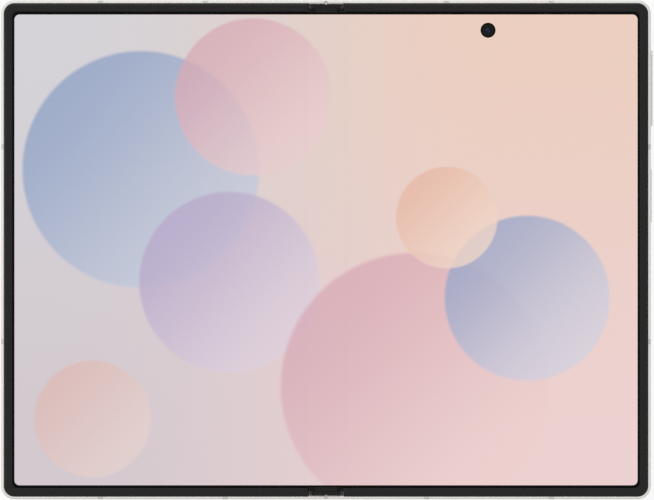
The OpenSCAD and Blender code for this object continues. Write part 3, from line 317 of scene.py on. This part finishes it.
def make_materials():
    """Every finish on the phone, by the name of the node or piece that has it."""
    made = {}

    def give(finish, *names):
        for name in names:
            made[name] = finish

    # Aluminium, bead blasted and anodised: pale silver, soft and even, with eased edges
    give(surface("anodised_silver_aluminium", "#DDDBD7", "#D8D6D2", metallic=0.5, roughness=0.42,
                 spread=0.03, grain=0.06, depth=0.0004, edge=0.12),
         "left_frame", "right_frame", "card_tray", "power_key", "volume_key")
    # Filled nylon moulded into the metal: a shade greyer than the frame, without its sheen
    give(surface("moulded_nylon_bands", "#CBC9C5", "#C5C3BF", metallic=0.0, roughness=0.55, spread=0.03,
                 grain=0.06, depth=0.001),
         "left_antenna_bands", "right_antenna_bands")
    # Moulded ABS with a fine spark-eroded texture: matte black, lighter where its edge turns down
    give(surface("matte_black_bezel", "#111111", "#141414", metallic=0.0, roughness=0.4, spread=0.05,
                 grain=0.07, depth=0.002, edge=0.5, specular=0.2),
         "left_bezel", "right_bezel", "bezel_corner")
    # Moulded nylon caps on the ends of the spine: black, and duller than the bezel
    give(surface("moulded_end_caps", "#111110", "#161615", metallic=0.0, roughness=0.4, spread=0.05,
                 grain=0.06, depth=0.002, edge=0.1, specular=0.15),
         "spine_end_caps")
    # Extruded aluminium, brushed and anodised, with painted shade on its ends
    give(spine_material("brushed_spine_aluminium"), "spine_cover")
    # Sintered and tumbled steel: grey and slightly grainy
    give(surface("sintered_steel", "#8E8E8B", "#7C7C79", metallic=0.95, roughness=0.4, spread=0.1,
                 grain=0.09, depth=0.006),
         "hinge_bracket_top", "hinge_bracket_bottom", "left_hinge_arms", "right_hinge_arms",
         "idler_top_left", "idler_top_right", "idler_bottom_left", "idler_bottom_right",
         "friction_discs")
    # Rolled stainless sheet: faint lines along the rolling direction
    give(surface("rolled_stainless_sheet", "#9A9A97", "#8B8B88", metallic=0.95, roughness=0.28,
                 spread=0.06, grain=0.1, depth=0.003, edge=0.03, stretch=(1, 0.05, 1)),
         "left_wing", "right_wing", "left_backplate", "right_backplate", "card_reader", "shield_cans",
         "haptic_motor", "usb_c_port")
    # Centreless-ground steel pins: near mirror
    give(surface("ground_steel_pins", "#C4C4C2", "#BABAB8", metallic=1.0, roughness=0.16, spread=0.04,
                 grain=0.1, depth=0.001, edge=0.03),
         "hinge_pins", "idler_pins", "left_wing_pins", "right_wing_pins")
    # Black oxide on steel: dark and slightly oily
    give(surface("black_oxide_screws", "#2B2B2C", "#222223", metallic=0.7, roughness=0.38, spread=0.08,
                 grain=0.08, depth=0.004, edge=0.03),
         "bracket_screws", "left_arm_screws", "right_arm_screws")
    # Acid-frosted glass over a silver film: satin and slightly cool
    give(surface("frosted_silver_glass", "#E0E0E0", "#DADADB", metallic=0.15, roughness=0.34,
                 spread=0.04, grain=0.05, depth=0.001, edge=0.1, coat=0.15),
         "rear_glass")
    # Polished glass over a display that is off: deep black with sharp reflections
    give(surface("polished_black_glass", "#0B0B0D", "#0E0E11", metallic=0.0, roughness=0.06,
                 spread=0.02, grain=4.0, depth=0.001, edge=0.12, specular=0.3),
         "cover_glass")
    # Back of a display panel under its glass: black film
    give(surface("display_panel", "#060606", "#080809", metallic=0.0, roughness=0.2, spread=0.03,
                 grain=0.2, depth=0.002, edge=0.03),
         "cover_display")
    # Aluminium plateau, blasted finer than the frame
    give(surface("anodised_plateau", "#DCDCDC", "#D4D4D5", metallic=0.5, roughness=0.36, spread=0.05,
                 grain=0.05, depth=0.0008, edge=0.12),
         "camera_island")
    # Diamond-turned aluminium: bright, with very fine tool marks
    give(surface("diamond_turned_ring", "#BFBFC2", "#B2B2B6", metallic=1.0, roughness=0.14, spread=0.04,
                 grain=0.08, depth=0.001),
         "camera_rings")
    # Blackened aluminium and black moulding inside the cameras
    give(surface("blackened_barrel", "#060808", "#0A0C0C", metallic=0.0, roughness=0.5, spread=0.08,
                 grain=0.08, depth=0.006, edge=0.03, specular=0.15),
         "rear_camera_modules", "cover_camera", "inner_camera", "camera_lenses", "rear_barrel")
    # Polycarbonate diffuser over a warm lamp
    give(surface("lamp_diffuser", "#F1E7CB", "#EFE2BE", metallic=0.0, roughness=0.3, spread=0.05,
                 grain=0.3, depth=0.006, coat=0.3),
         "flash_lamp")
    # Foil pouch: wrinkled laminate, dull black-grey
    give(surface("battery_pouch_foil", "#3C3D41", "#34353A", metallic=0.25, roughness=0.42, spread=0.1,
                 grain=0.9, depth=0.03, edge=0.1),
         "left_battery", "right_battery")
    # Fibre board under green solder mask, with gold-plated pads
    give(printed_board("solder_masked_board"), "left_board", "main_board")
    # Glass-filled moulding with a dull surface
    give(surface("speaker_box_plastic", "#2B2B2D", "#252527", metallic=0.0, roughness=0.48, spread=0.07,
                 grain=0.1, depth=0.006, edge=0.08),
         "earpiece_speaker", "bottom_speaker")
    # Enamelled copper, wound and bonded: orange-brown and fairly bright
    give(surface("enamelled_copper", "#B4713F", "#A5622F", metallic=0.9, roughness=0.3, spread=0.07,
                 grain=0.15, depth=0.006, edge=0.03),
         "charging_coil")
    # Polyimide film: amber and smooth, and drawn out along the flat cable
    give(surface("polyimide_film", "#C07C32", "#B06E28", metallic=0.0, roughness=0.32, spread=0.06,
                 grain=0.4, depth=0.003, edge=0.02),
         "side_key_switches")
    give(surface("polyimide_flat_cable", "#B5672B", "#A65C24", metallic=0.0, roughness=0.35,
                 spread=0.06, grain=0.5, depth=0.003, edge=0.02, stretch=(0.1, 1, 1)),
         "flat_cable")
    # Plastic film over the lit panel, on each half and where it bends
    give(screen_material("lit_display"), "left_display", "right_display")
    give(screen_material("lit_display_fold", "rest_place"), "fold_sheet")
    # Polished glass with a violet anti-reflection coating
    give(coated_lens("violet_coated_lens"), "lens_glass")
    # Blackened rings with bright rubbed edges
    give(surface("blackened_lens_ring", "#4C4C52", "#3F3F45", metallic=0.8, roughness=0.26, spread=0.05,
                 grain=0.1, depth=0.002, edge=0.02),
         "lens_ring")
    # Polished clear glass over the rear cameras
    give(clear_glass("clear_cover_glass"), "cover_lens")
    # Woven steel gauze behind the speaker holes
    give(gauze_material("woven_steel_gauze"), "gauze")
    # Liquid-crystal polymer of the port's tongue, and its gold-flashed contacts
    give(surface("black_port_tongue", "#1B1B1C", "#161617", metallic=0.0, roughness=0.4, spread=0.05,
                 grain=0.1, depth=0.002, edge=0.03),
         "tongue")
    give(surface("gold_flashed_contacts", "#D9B45A", "#CDA64B", metallic=1.0, roughness=0.22,
                 spread=0.04, grain=0.1, depth=0.001, edge=0.02),
         "contacts")
    # Painted shade for the strips by the hinge: black, and swallows nearly all light
    give(surface("black_painted_shade_strip", "#060606", "#090909", metallic=0.0, roughness=0.8, spread=0.1,
                 grain=0.12, depth=0.01, edge=0.02, specular=0.05),
         "painted_shade_strip")
    # Screen-printed black ink under the film
    give(surface("printed_black_mask", "#030303", "#050505", metallic=0.0, roughness=0.5, spread=0.05,
                 grain=0.1, depth=0.001, edge=0.01, specular=0.05),
         "black_mask")
    return made


# ------------------------------------------------------------------ modelling helpers


def start(name, primitive, **settings):
    """Adds a mesh primitive by itself, named and selected."""
    bpy.ops.object.select_all(action="DESELECT")
    getattr(bpy.ops.mesh, f"primitive_{primitive}_add")(**settings)
    piece = bpy.context.object
    piece.name = name
    return piece


def only(piece):
    """Selects one piece and makes it the active one."""
    bpy.ops.object.select_all(action="DESELECT")
    piece.select_set(True)
    bpy.context.view_layer.objects.active = piece


def settle(piece):
    """Puts the piece's place into its mesh and applies its modifiers."""
    only(piece)
    bpy.ops.object.transform_apply(location=True, rotation=True, scale=True)
    for modifier in list(piece.modifiers):
        bpy.ops.object.modifier_apply(modifier=modifier.name)
    return piece


def dress(piece, material, smooth=35):
    """Gives the piece one material and smooths its shading below an angle in degrees."""
    piece.data.materials.clear()
    piece.data.materials.append(material)
    only(piece)
    bpy.ops.object.shade_smooth_by_angle(angle=math.radians(smooth))


def ease(piece, width):
    """Bevels the piece's sharp edges by a width in mm."""
    bevel = piece.modifiers.new("eased_edges", "BEVEL")
    bevel.width = width * MM
    bevel.segments = 2
    bevel.limit_method = "ANGLE"


def thicken(piece, thickness, offset=0):
    """Gives a sheet its thickness in metres, to both sides of it, or below it for an offset of -1."""
    wall = piece.modifiers.new("thickness", "SOLIDIFY")
    wall.thickness = thickness
    wall.offset = offset


def repeat(piece, count, step):
    """Repeats the piece in a straight row, one step apart."""
    row = piece.modifiers.new("row", "ARRAY")
    row.count = count
    row.use_relative_offset = False
    row.use_constant_offset = True
    row.constant_offset_displace = step


def pick(piece, kind, chosen):
    """In edit mode, selects the faces, edges or points for which chosen holds, and nothing else."""
    bpy.ops.mesh.select_mode(type=kind)
    bpy.ops.mesh.select_all(action="DESELECT")
    cage = bmesh.from_edit_mesh(piece.data)
    for element in {"FACE": cage.faces, "EDGE": cage.edges, "VERT": cage.verts}[kind]:
        element.select = chosen(element)
    bmesh.update_edit_mesh(piece.data)


def extrude(*step):
    """In edit mode, extrudes what is selected by a step."""
    bpy.ops.mesh.extrude_region_move(TRANSFORM_OT_translate={"value": step})


def finish_piece(piece, material, body, smooth=35):
    """Dresses a finished piece, and gives it its body."""
    dress(piece, material, smooth)
    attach(piece, body)


def keep_rest_place(piece):
    """Stores each point's place at rest, so that the picture bends with the sheet."""
    layer = piece.data.attributes.new("rest_place", "FLOAT_VECTOR", "POINT")
    for index, vertex in enumerate(piece.data.vertices):
        layer.data[index].vector = vertex.co


def side_word(side):
    """The word for a side of the hinge, which starts the names of its body and nodes."""
    return "right" if side > 0 else "left"


def body_of(side):
    """The half on the right or on the left of the hinge."""
    return side_word(side) + "_half"


def span(side, near, far):
    """A span on one side of the middle, lowest value first."""
    return sorted((side * near, side * far))


# ------------------------------------------------------------------ the parts that bend


def fold_sheet(side, materials):
    """The bending middle of the display, from the hinge line to one half."""
    width = FOLD_HIGH.x
    piece = start("display_bend_" + side_word(side), "grid", x_subdivisions=28, y_subdivisions=8,
                  size=1, location=(side * width / 2, 0, FOLD_HIGH.z))
    piece.scale = (width, FOLD_HIGH.y - FOLD_LOW.y, 1)
    thicken(piece, FOLD_HIGH.z - FOLD_LOW.z, -1)
    settle(piece)
    keep_rest_place(piece)
    dress(piece, materials["fold_sheet"])
    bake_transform(piece)
    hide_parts("display_fold")


def flat_cable(side, materials):
    """One half of the flat cable: a strip that dips into the spine and rises into the half."""
    thickness = 0.1 * MM
    top, bottom = CABLE_HIGH.z, CABLE_LOW.z + thickness
    reach, foot, head = CABLE_HIGH.x, 1.6 * MM, 4.6 * MM
    piece = start("flat_cable_" + side_word(side), "grid", x_subdivisions=40, y_subdivisions=6,
                  size=1, location=(side * reach / 2, 0, top))
    piece.scale = (reach, CABLE_HIGH.y - CABLE_LOW.y, 1)
    settle(piece)
    # A smooth step from the foot in the spine to the head in the half
    for vertex in piece.data.vertices:
        rise = min(max((abs(vertex.co.x) - foot) / (head - foot), 0), 1)
        vertex.co.z = bottom + (top - bottom) * rise * rise * (3 - 2 * rise)
    thicken(piece, thickness, -1)
    settle(piece)
    dress(piece, materials["flat_cable"])
    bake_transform(piece)
    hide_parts("hinge_flex_cable")


# ------------------------------------------------------------------ cameras and lamp


def lens_dome(name, seat, radius, rise, facing):
    """A glass dome on a thin foot: its face is inset step by step, each raised to lie on a ball.

    It stands rise above its seat, and facing is 1 for up and -1 for down.
    """
    foot = 0.01 * MM
    ball = (radius * radius + rise * rise) / (2 * rise)
    piece = start(name, "cylinder", vertices=48, radius=radius, depth=foot,
                  location=(seat[0], seat[1], seat[2] - facing * foot / 2))
    bpy.ops.object.mode_set(mode="EDIT")
    pick(piece, "FACE", lambda face: face.normal.z * facing > 0.9)
    steps = 10
    shares = steps + 0.5
    height = 0
    for step in range(1, steps + 1):
        reach = radius * (1 - step / shares)
        raised = math.sqrt(ball * ball - reach * reach) - (ball - rise)
        bpy.ops.mesh.inset(thickness=radius / shares)
        bpy.ops.transform.translate(value=(0, 0, facing * (raised - height)))
        height = raised
    bpy.ops.object.mode_set(mode="OBJECT")
    return settle(piece)


def stepped_barrel(name, front, radius, depth, steps, facing):
    """A round body whose face steps down to its lens; each step is an inset and a drop in mm."""
    piece = start(name, "cylinder", vertices=64, radius=radius, depth=depth,
                  location=(front[0], front[1], front[2] - facing * depth / 2))
    bpy.ops.object.mode_set(mode="EDIT")
    pick(piece, "FACE", lambda face: face.normal.z * facing > 0.9)
    for inset, drop in steps:
        bpy.ops.mesh.inset(thickness=inset * MM)
        extrude(0, 0, -facing * drop * MM)
    bpy.ops.object.mode_set(mode="OBJECT")
    ease(piece, 0.03)
    return settle(piece)


def turned_ring(name, centre, radius, width, height):
    """A flat turned ring with eased edges, its middle at centre; radius, width and height in mm."""
    outer = radius + width / 2
    piece = start(name, "circle", vertices=64, radius=outer * MM, location=centre)
    bpy.ops.object.mode_set(mode="EDIT")
    pick(piece, "EDGE", lambda edge: True)
    extrude(0, 0, 0)
    share = (radius - width / 2) / outer
    bpy.ops.transform.resize(value=(share, share, 1), center_override=centre)
    bpy.ops.object.mode_set(mode="OBJECT")
    thicken(piece, height * MM)
    ease(piece, 0.2 * min(width, height))
    return settle(piece)


def lamp_rings(materials):
    """Stepped rings moulded into the face of the lamp."""
    centre = middle((LAMP_LOW, LAMP_HIGH))
    # The first ring's radius in mm, and how much wider each next one is
    first, pitch = 0.45, 0.42
    for index in range(4):
        piece = turned_ring(f"lamp_ring_{index + 1}", (centre.x, centre.y, LAMP_LOW.z),
                            radius=first + pitch * index, width=0.16, height=0.1)
        finish_piece(piece, materials["flash_lamp"], "right_half")


def rear_lens(index, x, materials):
    """One rear camera: clear cover glass, a stepped black barrel and a coated front element."""
    y = middle((LENS_LOW, LENS_HIGH)).y
    radius = (LENS_HIGH.y - LENS_LOW.y) / 2
    depth = LENS_HIGH.z - LENS_LOW.z
    face = LENS_LOW.z
    behind_glass = 0.14 * MM
    barrel = stepped_barrel(f"rear_barrel_{index}", (x, y, face + behind_glass), radius,
                            depth - behind_glass, ((0.5, 0.08), (0.7, 0.06), (0.5, 0.08), (0.6, 0.05)),
                            facing=-1)
    finish_piece(barrel, materials["rear_barrel"], "right_half")
    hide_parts("camera_lenses")
    # Each ring's radius in mm, and how far it lies behind the glass's face
    for name, reach, drop in (("outer", 4.95, 0.24), ("middle", 4.2, 0.3), ("iris", 3.1, 0.4)):
        ring = turned_ring(f"rear_{name}_ring_{index}", (x, y, face + drop * MM), reach, width=0.14,
                           height=0.1)
        finish_piece(ring, materials["lens_ring"], "right_half")
    dome = lens_dome(f"rear_front_element_{index}", (x, y, face + 0.42 * MM), radius=2.9 * MM,
                     rise=0.2 * MM, facing=-1)
    finish_piece(dome, materials["lens_glass"], "right_half", smooth=50)
    glass = stepped_barrel(f"rear_cover_glass_{index}", (x, y, face), radius - 0.02 * MM,
                           depth=0.1 * MM, steps=((0.25, 0.02),), facing=-1)
    finish_piece(glass, materials["cover_lens"], "right_half")


def inner_camera_pieces(materials):
    """The small camera behind the screen's hole: a printed mask, a stop and a violet element."""
    centre = middle((CAMERA_LOW, CAMERA_HIGH))
    top = CAMERA_HIGH.z
    mask = turned_ring("inner_lens_mask", (centre.x, centre.y, top + 0.02 * MM), radius=1.55, width=0.3,
                       height=0.04)
    finish_piece(mask, materials["black_mask"], "right_half")
    stop = turned_ring("inner_lens_stop", (centre.x, centre.y, top - 0.05 * MM), radius=0.7, width=0.16,
                       height=0.08)
    finish_piece(stop, materials["rear_barrel"], "right_half")
    dome = lens_dome("inner_front_element", (centre.x, centre.y, top - 0.1 * MM), radius=0.61 * MM,
                     rise=0.16 * MM, facing=1)
    finish_piece(dome, materials["lens_glass"], "right_half", smooth=50)


def cover_camera_pieces(materials):
    """What shows of the outer camera through the black glass: a ring and a violet element."""
    centre = middle((COVER_CAM_LOW, COVER_CAM_HIGH))
    face = (centre.x, centre.y, COVER_GLASS_LOW.z)
    ring = turned_ring("cover_lens_ring", face, radius=1.7, width=0.25, height=0.03)
    finish_piece(ring, materials["lens_ring"], "left_half")
    dome = lens_dome("cover_front_element", face, radius=1.2 * MM, rise=0.03 * MM, facing=-1)
    finish_piece(dome, materials["lens_glass"], "left_half", smooth=50)


# ------------------------------------------------------------------ small parts by the hinge and bezel

# Spans in mm from the phone's middle, across, along the hinge and above the floor
HINGE_SHADE_SPANS = (4.405, 4.495), (59.14, 61.2), (6.16, 6.88)
LEDGE_SPANS = (0.1, 4.38), (60.98, 61.13), (6.15, 6.19)
RIM_SPANS = (5.51, 6.44), (61.27, 61.94), (6.235, 6.99)
# The bezel's inner corner: its radius, and the middle and height of what fills it
CORNER_RADIUS = 1.45 * MM
CORNER_Z = 7.095 * MM
CORNER_HEIGHT = 0.37 * MM


def shaped_block(name, block_low, block_high):
    """A block between two corners in mm, with its place and size already in its mesh."""
    centre = [(a + b) / 2 * MM for a, b in zip(block_low, block_high)]
    piece = start(name, "cube", size=1, location=centre)
    piece.scale = [(b - a) * MM for a, b in zip(block_low, block_high)]
    return settle(piece)


def place_words(side, end):
    """The words that a piece by one end of the hinge is named with."""
    return side_word(side) + ("_top" if end > 0 else "_bottom")


def hinge_block(kind, side, end, spans):
    """A block beside one end of the hinge, named by its kind and its place."""
    (x0, x1), (y0, y1), (z0, z1) = span(side, *spans[0]), span(end, *spans[1]), spans[2]
    return shaped_block(f"{kind}_{place_words(side, end)}", (x0, y0, z0), (x1, y1, z1))


def hinge_painted_shade(side, end, materials):
    """Painted shade: a black strip that lines the bezel's end by the hinge, then turns along the
    display's edge.
    """
    turn, arm = 0.18 * MM, 2.05 * MM
    bezel_end = HINGE_SHADE_SPANS[1][0] * MM
    piece = hinge_block("hinge_painted_shade", side, end, HINGE_SHADE_SPANS)
    bpy.ops.object.mode_set(mode="EDIT")
    pick(piece, "FACE", lambda face: face.normal.y * end < -0.9)
    extrude(0, -end * turn, 0)
    pick(piece, "FACE", lambda face: face.normal.x * side > 0.9
         and abs(face.calc_center_median().y) < bezel_end)
    extrude(side * arm, 0, 0)
    bpy.ops.object.mode_set(mode="OBJECT")
    ease(piece, 0.02)
    settle(piece)
    finish_piece(piece, materials["painted_shade_strip"], body_of(side))


def ledge_painted_shade(side, end, materials):
    """A thin black strip, narrower at its top, on the inner edge of the frame's ledge by the hinge:
    painted shade where that rounded edge turns down.
    """
    piece = hinge_block("ledge_painted_shade", side, end, LEDGE_SPANS)
    bpy.ops.object.mode_set(mode="EDIT")
    pick(piece, "FACE", lambda face: face.normal.z > 0.9)
    bpy.ops.mesh.inset(thickness=0.02 * MM)
    bpy.ops.transform.translate(value=(0, 0, 0.03 * MM))
    bpy.ops.object.mode_set(mode="OBJECT")
    settle(piece)
    finish_piece(piece, materials["painted_shade_strip"], body_of(side))


def rim_infill(side, end, materials):
    """Metal infill of the short slot that the wing plate's tool leaves in the rim."""
    piece = hinge_block("rim_infill", side, end, RIM_SPANS)
    inside = 0.04 * MM
    rim_y, rim_z = RIM_SPANS[1][1] * MM - inside, RIM_SPANS[2][1] * MM - inside
    bpy.ops.object.mode_set(mode="EDIT")
    pick(piece, "EDGE", lambda edge: all(point.co.y * end > rim_y and point.co.z > rim_z
                                         for point in edge.verts))
    bpy.ops.mesh.bevel(offset=0.28 * MM, segments=5, affect="EDGES")
    bpy.ops.object.mode_set(mode="OBJECT")
    settle(piece)
    finish_piece(piece, materials["right_frame"], body_of(side))


def bezel_corner(side, end, materials):
    """Rounds one inner corner of the bezel: the space between the corner and an arc, filled."""
    corner = (side * (BEZEL_HIGH.x - BEZEL_WIDTH), end * (BEZEL_HIGH.y - BEZEL_WIDTH), CORNER_Z)
    centre = (corner[0] - side * CORNER_RADIUS, corner[1] - end * CORNER_RADIUS, CORNER_Z)
    piece = start(f"bezel_corner_{place_words(side, end)}", "circle", vertices=64, radius=CORNER_RADIUS,
                  location=centre)
    settle(piece)
    slack = 0.001 * MM
    bpy.ops.object.mode_set(mode="EDIT")
    # Only the quarter of the circle that faces the corner stays
    pick(piece, "VERT", lambda point: (point.co.x - centre[0]) * side < -slack
         or (point.co.y - centre[1]) * end < -slack)
    bpy.ops.mesh.delete(type="VERT")
    pick(piece, "EDGE", lambda edge: True)
    extrude(0, 0, 0)
    bpy.ops.transform.resize(value=(0, 0, 1), center_override=corner)
    bpy.ops.mesh.select_all(action="SELECT")
    bpy.ops.mesh.remove_doubles(threshold=slack)
    bpy.ops.object.mode_set(mode="OBJECT")
    thicken(piece, CORNER_HEIGHT)
    settle(piece)
    finish_piece(piece, materials["bezel_corner"], body_of(side))


# ------------------------------------------------------------------ openings


def gauze_row(name, x, y, z, count, body, materials):
    """Dished gauze discs behind a row of round holes in the top or bottom edge."""
    pitch = 2.2
    rim, dish = 0.12 * MM, 0.08 * MM
    piece = start(name, "cylinder", vertices=24, radius=0.56 * MM, depth=0.16 * MM,
                  location=(x - (count - 1) * pitch / 2 * MM, y, z), rotation=(math.pi / 2, 0, 0))
    settle(piece)
    bpy.ops.object.mode_set(mode="EDIT")
    pick(piece, "FACE", lambda face: face.normal.y * y > 0.5 * abs(y))
    bpy.ops.mesh.inset(thickness=rim)
    bpy.ops.transform.translate(value=(0, -math.copysign(dish, y), 0))
    bpy.ops.object.mode_set(mode="OBJECT")
    repeat(piece, count, (pitch * MM, 0, 0))
    settle(piece)
    finish_piece(piece, materials["gauze"], body)


def port_inside(materials):
    """The port's black tongue, thicker at its root, and its two rows of gold contacts.

    All numbers are in mm; the tip, root and contacts are measured inwards from the port's mouth.
    """
    x = middle((PORT_LOW, PORT_HIGH)).x / MM
    mouth = PORT_LOW.y / MM
    z = PORT_LOW.z / MM + 1.53
    half_width, half_height = 3.33, 0.37
    tip, root_at, root_length = 0.85, 5.4, 1.0
    step = 0.001
    tongue = shaped_block("port_tongue", (x - half_width, mouth + tip, z - half_height),
                          (x + half_width, mouth + root_at, z + half_height))
    bpy.ops.object.mode_set(mode="EDIT")
    pick(tongue, "FACE", lambda face: face.normal.y > 0.9)
    extrude(0, step * MM, 0)
    root = Vector((x, mouth + root_at + step, z)) * MM
    bpy.ops.transform.resize(value=(1.1, 1, 1.5), center_override=root)
    extrude(0, root_length * MM, 0)
    bpy.ops.object.mode_set(mode="OBJECT")
    ease(tongue, 0.08)
    settle(tongue)
    finish_piece(tongue, materials["tongue"], "right_half")
    count, pitch = 12, 0.5
    first_x = x - (count - 1) * pitch / 2
    half_pad, pad_near, pad_far, nose_length = 0.13, 1.4, 5.0, 0.2
    for side, name in ((1, "upper"), (-1, "lower")):
        foot, top = sorted((z + side * 0.36, z + side * 0.4))
        pad = shaped_block(f"port_contacts_{name}", (first_x - half_pad, mouth + pad_near, foot),
                           (first_x + half_pad, mouth + pad_far, top))
        bpy.ops.object.mode_set(mode="EDIT")
        pick(pad, "FACE", lambda face: face.normal.y < -0.9)
        extrude(0, -nose_length * MM, 0)
        nose = Vector((first_x, mouth + pad_near - nose_length, (foot + top) / 2)) * MM
        bpy.ops.transform.resize(value=(0.7, 1, 0.4), center_override=nose)
        bpy.ops.object.mode_set(mode="OBJECT")
        repeat(pad, count, (pitch * MM, 0, 0))
        settle(pad)
        finish_piece(pad, materials["contacts"], "right_half")


def build_pieces(materials):
    """All modelled pieces, each on the body that carries it, but for the display's bend and the flat
    cable, which are left on no body.
    """
    for side in (-1, 1):
        fold_sheet(side, materials)
        flat_cable(side, materials)
        for end in (-1, 1):
            hinge_painted_shade(side, end, materials)
            ledge_painted_shade(side, end, materials)
            rim_infill(side, end, materials)
            bezel_corner(side, end, materials)
    inner_camera_pieces(materials)
    cover_camera_pieces(materials)
    lens_radius = (LENS_HIGH.y - LENS_LOW.y) / 2
    rear_lens(1, LENS_LOW.x + lens_radius, materials)
    rear_lens(2, LENS_HIGH.x - lens_radius, materials)
    lamp_rings(materials)
    # The middle of each row of speaker holes, and how far in from the edge its gauze lies
    speaker_x = middle((PORT_LOW, PORT_HIGH)).x + 10.4 * MM
    earpiece_x = -50 * MM
    hole_z = 4.6 * MM
    inwards = 0.7 * MM
    gauze_row("bottom_speaker_gauze", speaker_x, FRAME_LOW.y + inwards, hole_z, 4,
              "right_half", materials)
    gauze_row("earpiece_gauze", earpiece_x, FRAME_HIGH.y - inwards, hole_z, 5,
              "left_half", materials)
    port_inside(materials)


def dress_frame(materials):
    """Gives every CAD node its finish."""
    for name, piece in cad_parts.items():
        if name in materials:
            dress(piece, materials[name])


# ------------------------------------------------------------------ stage


def white_to_the_eye(tree):
    """1 for rays from the camera, a mirror or glass, which all see the background as white."""
    rays = add_node(tree, "LightPath")
    both = add_node(tree, "Math", {"operation": "MAXIMUM"}, i0=rays.outputs["Is Camera Ray"],
                    i1=rays.outputs["Is Glossy Ray"])
    return add_node(tree, "Math", {"operation": "MAXIMUM"}, i0=both.outputs[0],
                    i1=rays.outputs["Is Transmission Ray"]).outputs[0]


def backdrop():
    """A plain pale floor: white, but for a faint shadow under the phone."""
    material, tree = blank("pale_floor")
    soft = add_node(tree, "BsdfDiffuse", None, Color=linear("#FCFCFC"))
    white = add_node(tree, "Emission", None, Color=linear("#FFFFFF"), Strength=1.0)
    # What the eye sees of the floor is white by this share, and the rest shows the shadow
    white_share = 0.85
    share = add_node(tree, "Math", {"operation": "MULTIPLY"}, i0=white_to_the_eye(tree), i1=white_share)
    mixed = add_node(tree, "MixShader", None, i0=share.outputs[0], i1=soft.outputs[0],
                     i2=white.outputs[0])
    # The floor lets spread light through, and from below the eye too, so that the back shows
    under = add_node(tree, "NewGeometry").outputs["Backfacing"]
    rays = add_node(tree, "LightPath")
    spread = add_node(tree, "Math", {"operation": "MAXIMUM"}, i0=rays.outputs["Is Shadow Ray"],
                      i1=rays.outputs["Is Diffuse Ray"])
    lets_by = add_node(tree, "Math", {"operation": "MAXIMUM"}, i0=under, i1=spread.outputs[0])
    clear = add_node(tree, "BsdfTransparent")
    both = add_node(tree, "MixShader", None, i0=lets_by.outputs[0], i1=mixed.outputs[0],
                    i2=clear.outputs[0])
    add_node(tree, "OutputMaterial", None, Surface=both.outputs[0])
    below = 0.3 * MM
    floor = start("floor", "plane", size=8.0, location=(0, 0, low.z - below))
    settle(floor)
    floor.data.materials.append(material)


def soft_box(name, place, size, power):
    """A large soft lamp that faces the phone; place and size in metres, power in watts."""
    lamp = bpy.data.lights.new(name, "AREA")
    lamp.shape = "RECTANGLE"
    lamp.size, lamp.size_y = size
    lamp.energy = power
    holder = bpy.data.objects.new(name, lamp)
    bpy.context.collection.objects.link(holder)
    holder.location = place
    holder.rotation_euler = (-Vector(place)).to_track_quat("-Z", "Y").to_euler()


def sky():
    """Even studio light from all round; the camera sees white."""
    world = bpy.data.worlds.new("studio")
    bpy.context.scene.world = world
    world.use_nodes = True
    tree = world.node_tree
    tree.nodes.clear()
    light = add_node(tree, "Background", None, Color=linear("#F4F4F2"), Strength=0.59)
    white = add_node(tree, "Background", None, Color=linear("#FFFFFF"), Strength=1.0)
    mixed = add_node(tree, "MixShader", None, i0=white_to_the_eye(tree), i1=light.outputs[0],
                     i2=white.outputs[0])
    add_node(tree, "OutputWorld", None, Surface=mixed.outputs[0])


def camera():
    """Straight above the screen with a long lens, as in the photo."""
    # The open phone is 161.4 mm wide, and 650 pixels in the photo of 654 by 500 pixels
    photo_w, photo_h, outline_px = 654, 500, 650
    metres_per_px = 161.4 / outline_px * MM
    # The pixel at which the photo has the phone's middle
    middle_x, middle_y = 326, 249.9
    distance = 1.3
    sensor = 36.0
    lens = bpy.data.cameras.new("camera")
    lens.sensor_width = sensor
    lens.lens = sensor * distance / (photo_w * metres_per_px)
    lens.clip_end = 20.0
    holder = bpy.data.objects.new("camera", lens)
    bpy.context.collection.objects.link(holder)
    holder.location = ((photo_w / 2 - middle_x) * metres_per_px,
                       -(photo_h / 2 - middle_y) * metres_per_px, high.z + distance)
    bpy.context.scene.camera = holder


MATERIALS = make_materials()
dress_frame(MATERIALS)
build_pieces(MATERIALS)
backdrop()
sky()
soft_box("left_box", place=(-1.1, 0.1, 0.8), size=(0.4, 0.4), power=4.2)
soft_box("upper_left_box", place=(-0.6, 0.6, 1.2), size=(0.2, 0.2), power=1.2)
soft_box("top_box", place=(-0.1, 1.1, 0.8), size=(0.4, 0.4), power=4.2)
soft_box("lower_right_box", place=(0.8, -0.6, 1.0), size=(0.4, 0.4), power=2.0)
camera()
bpy.context.scene.view_settings.view_transform = "Standard"
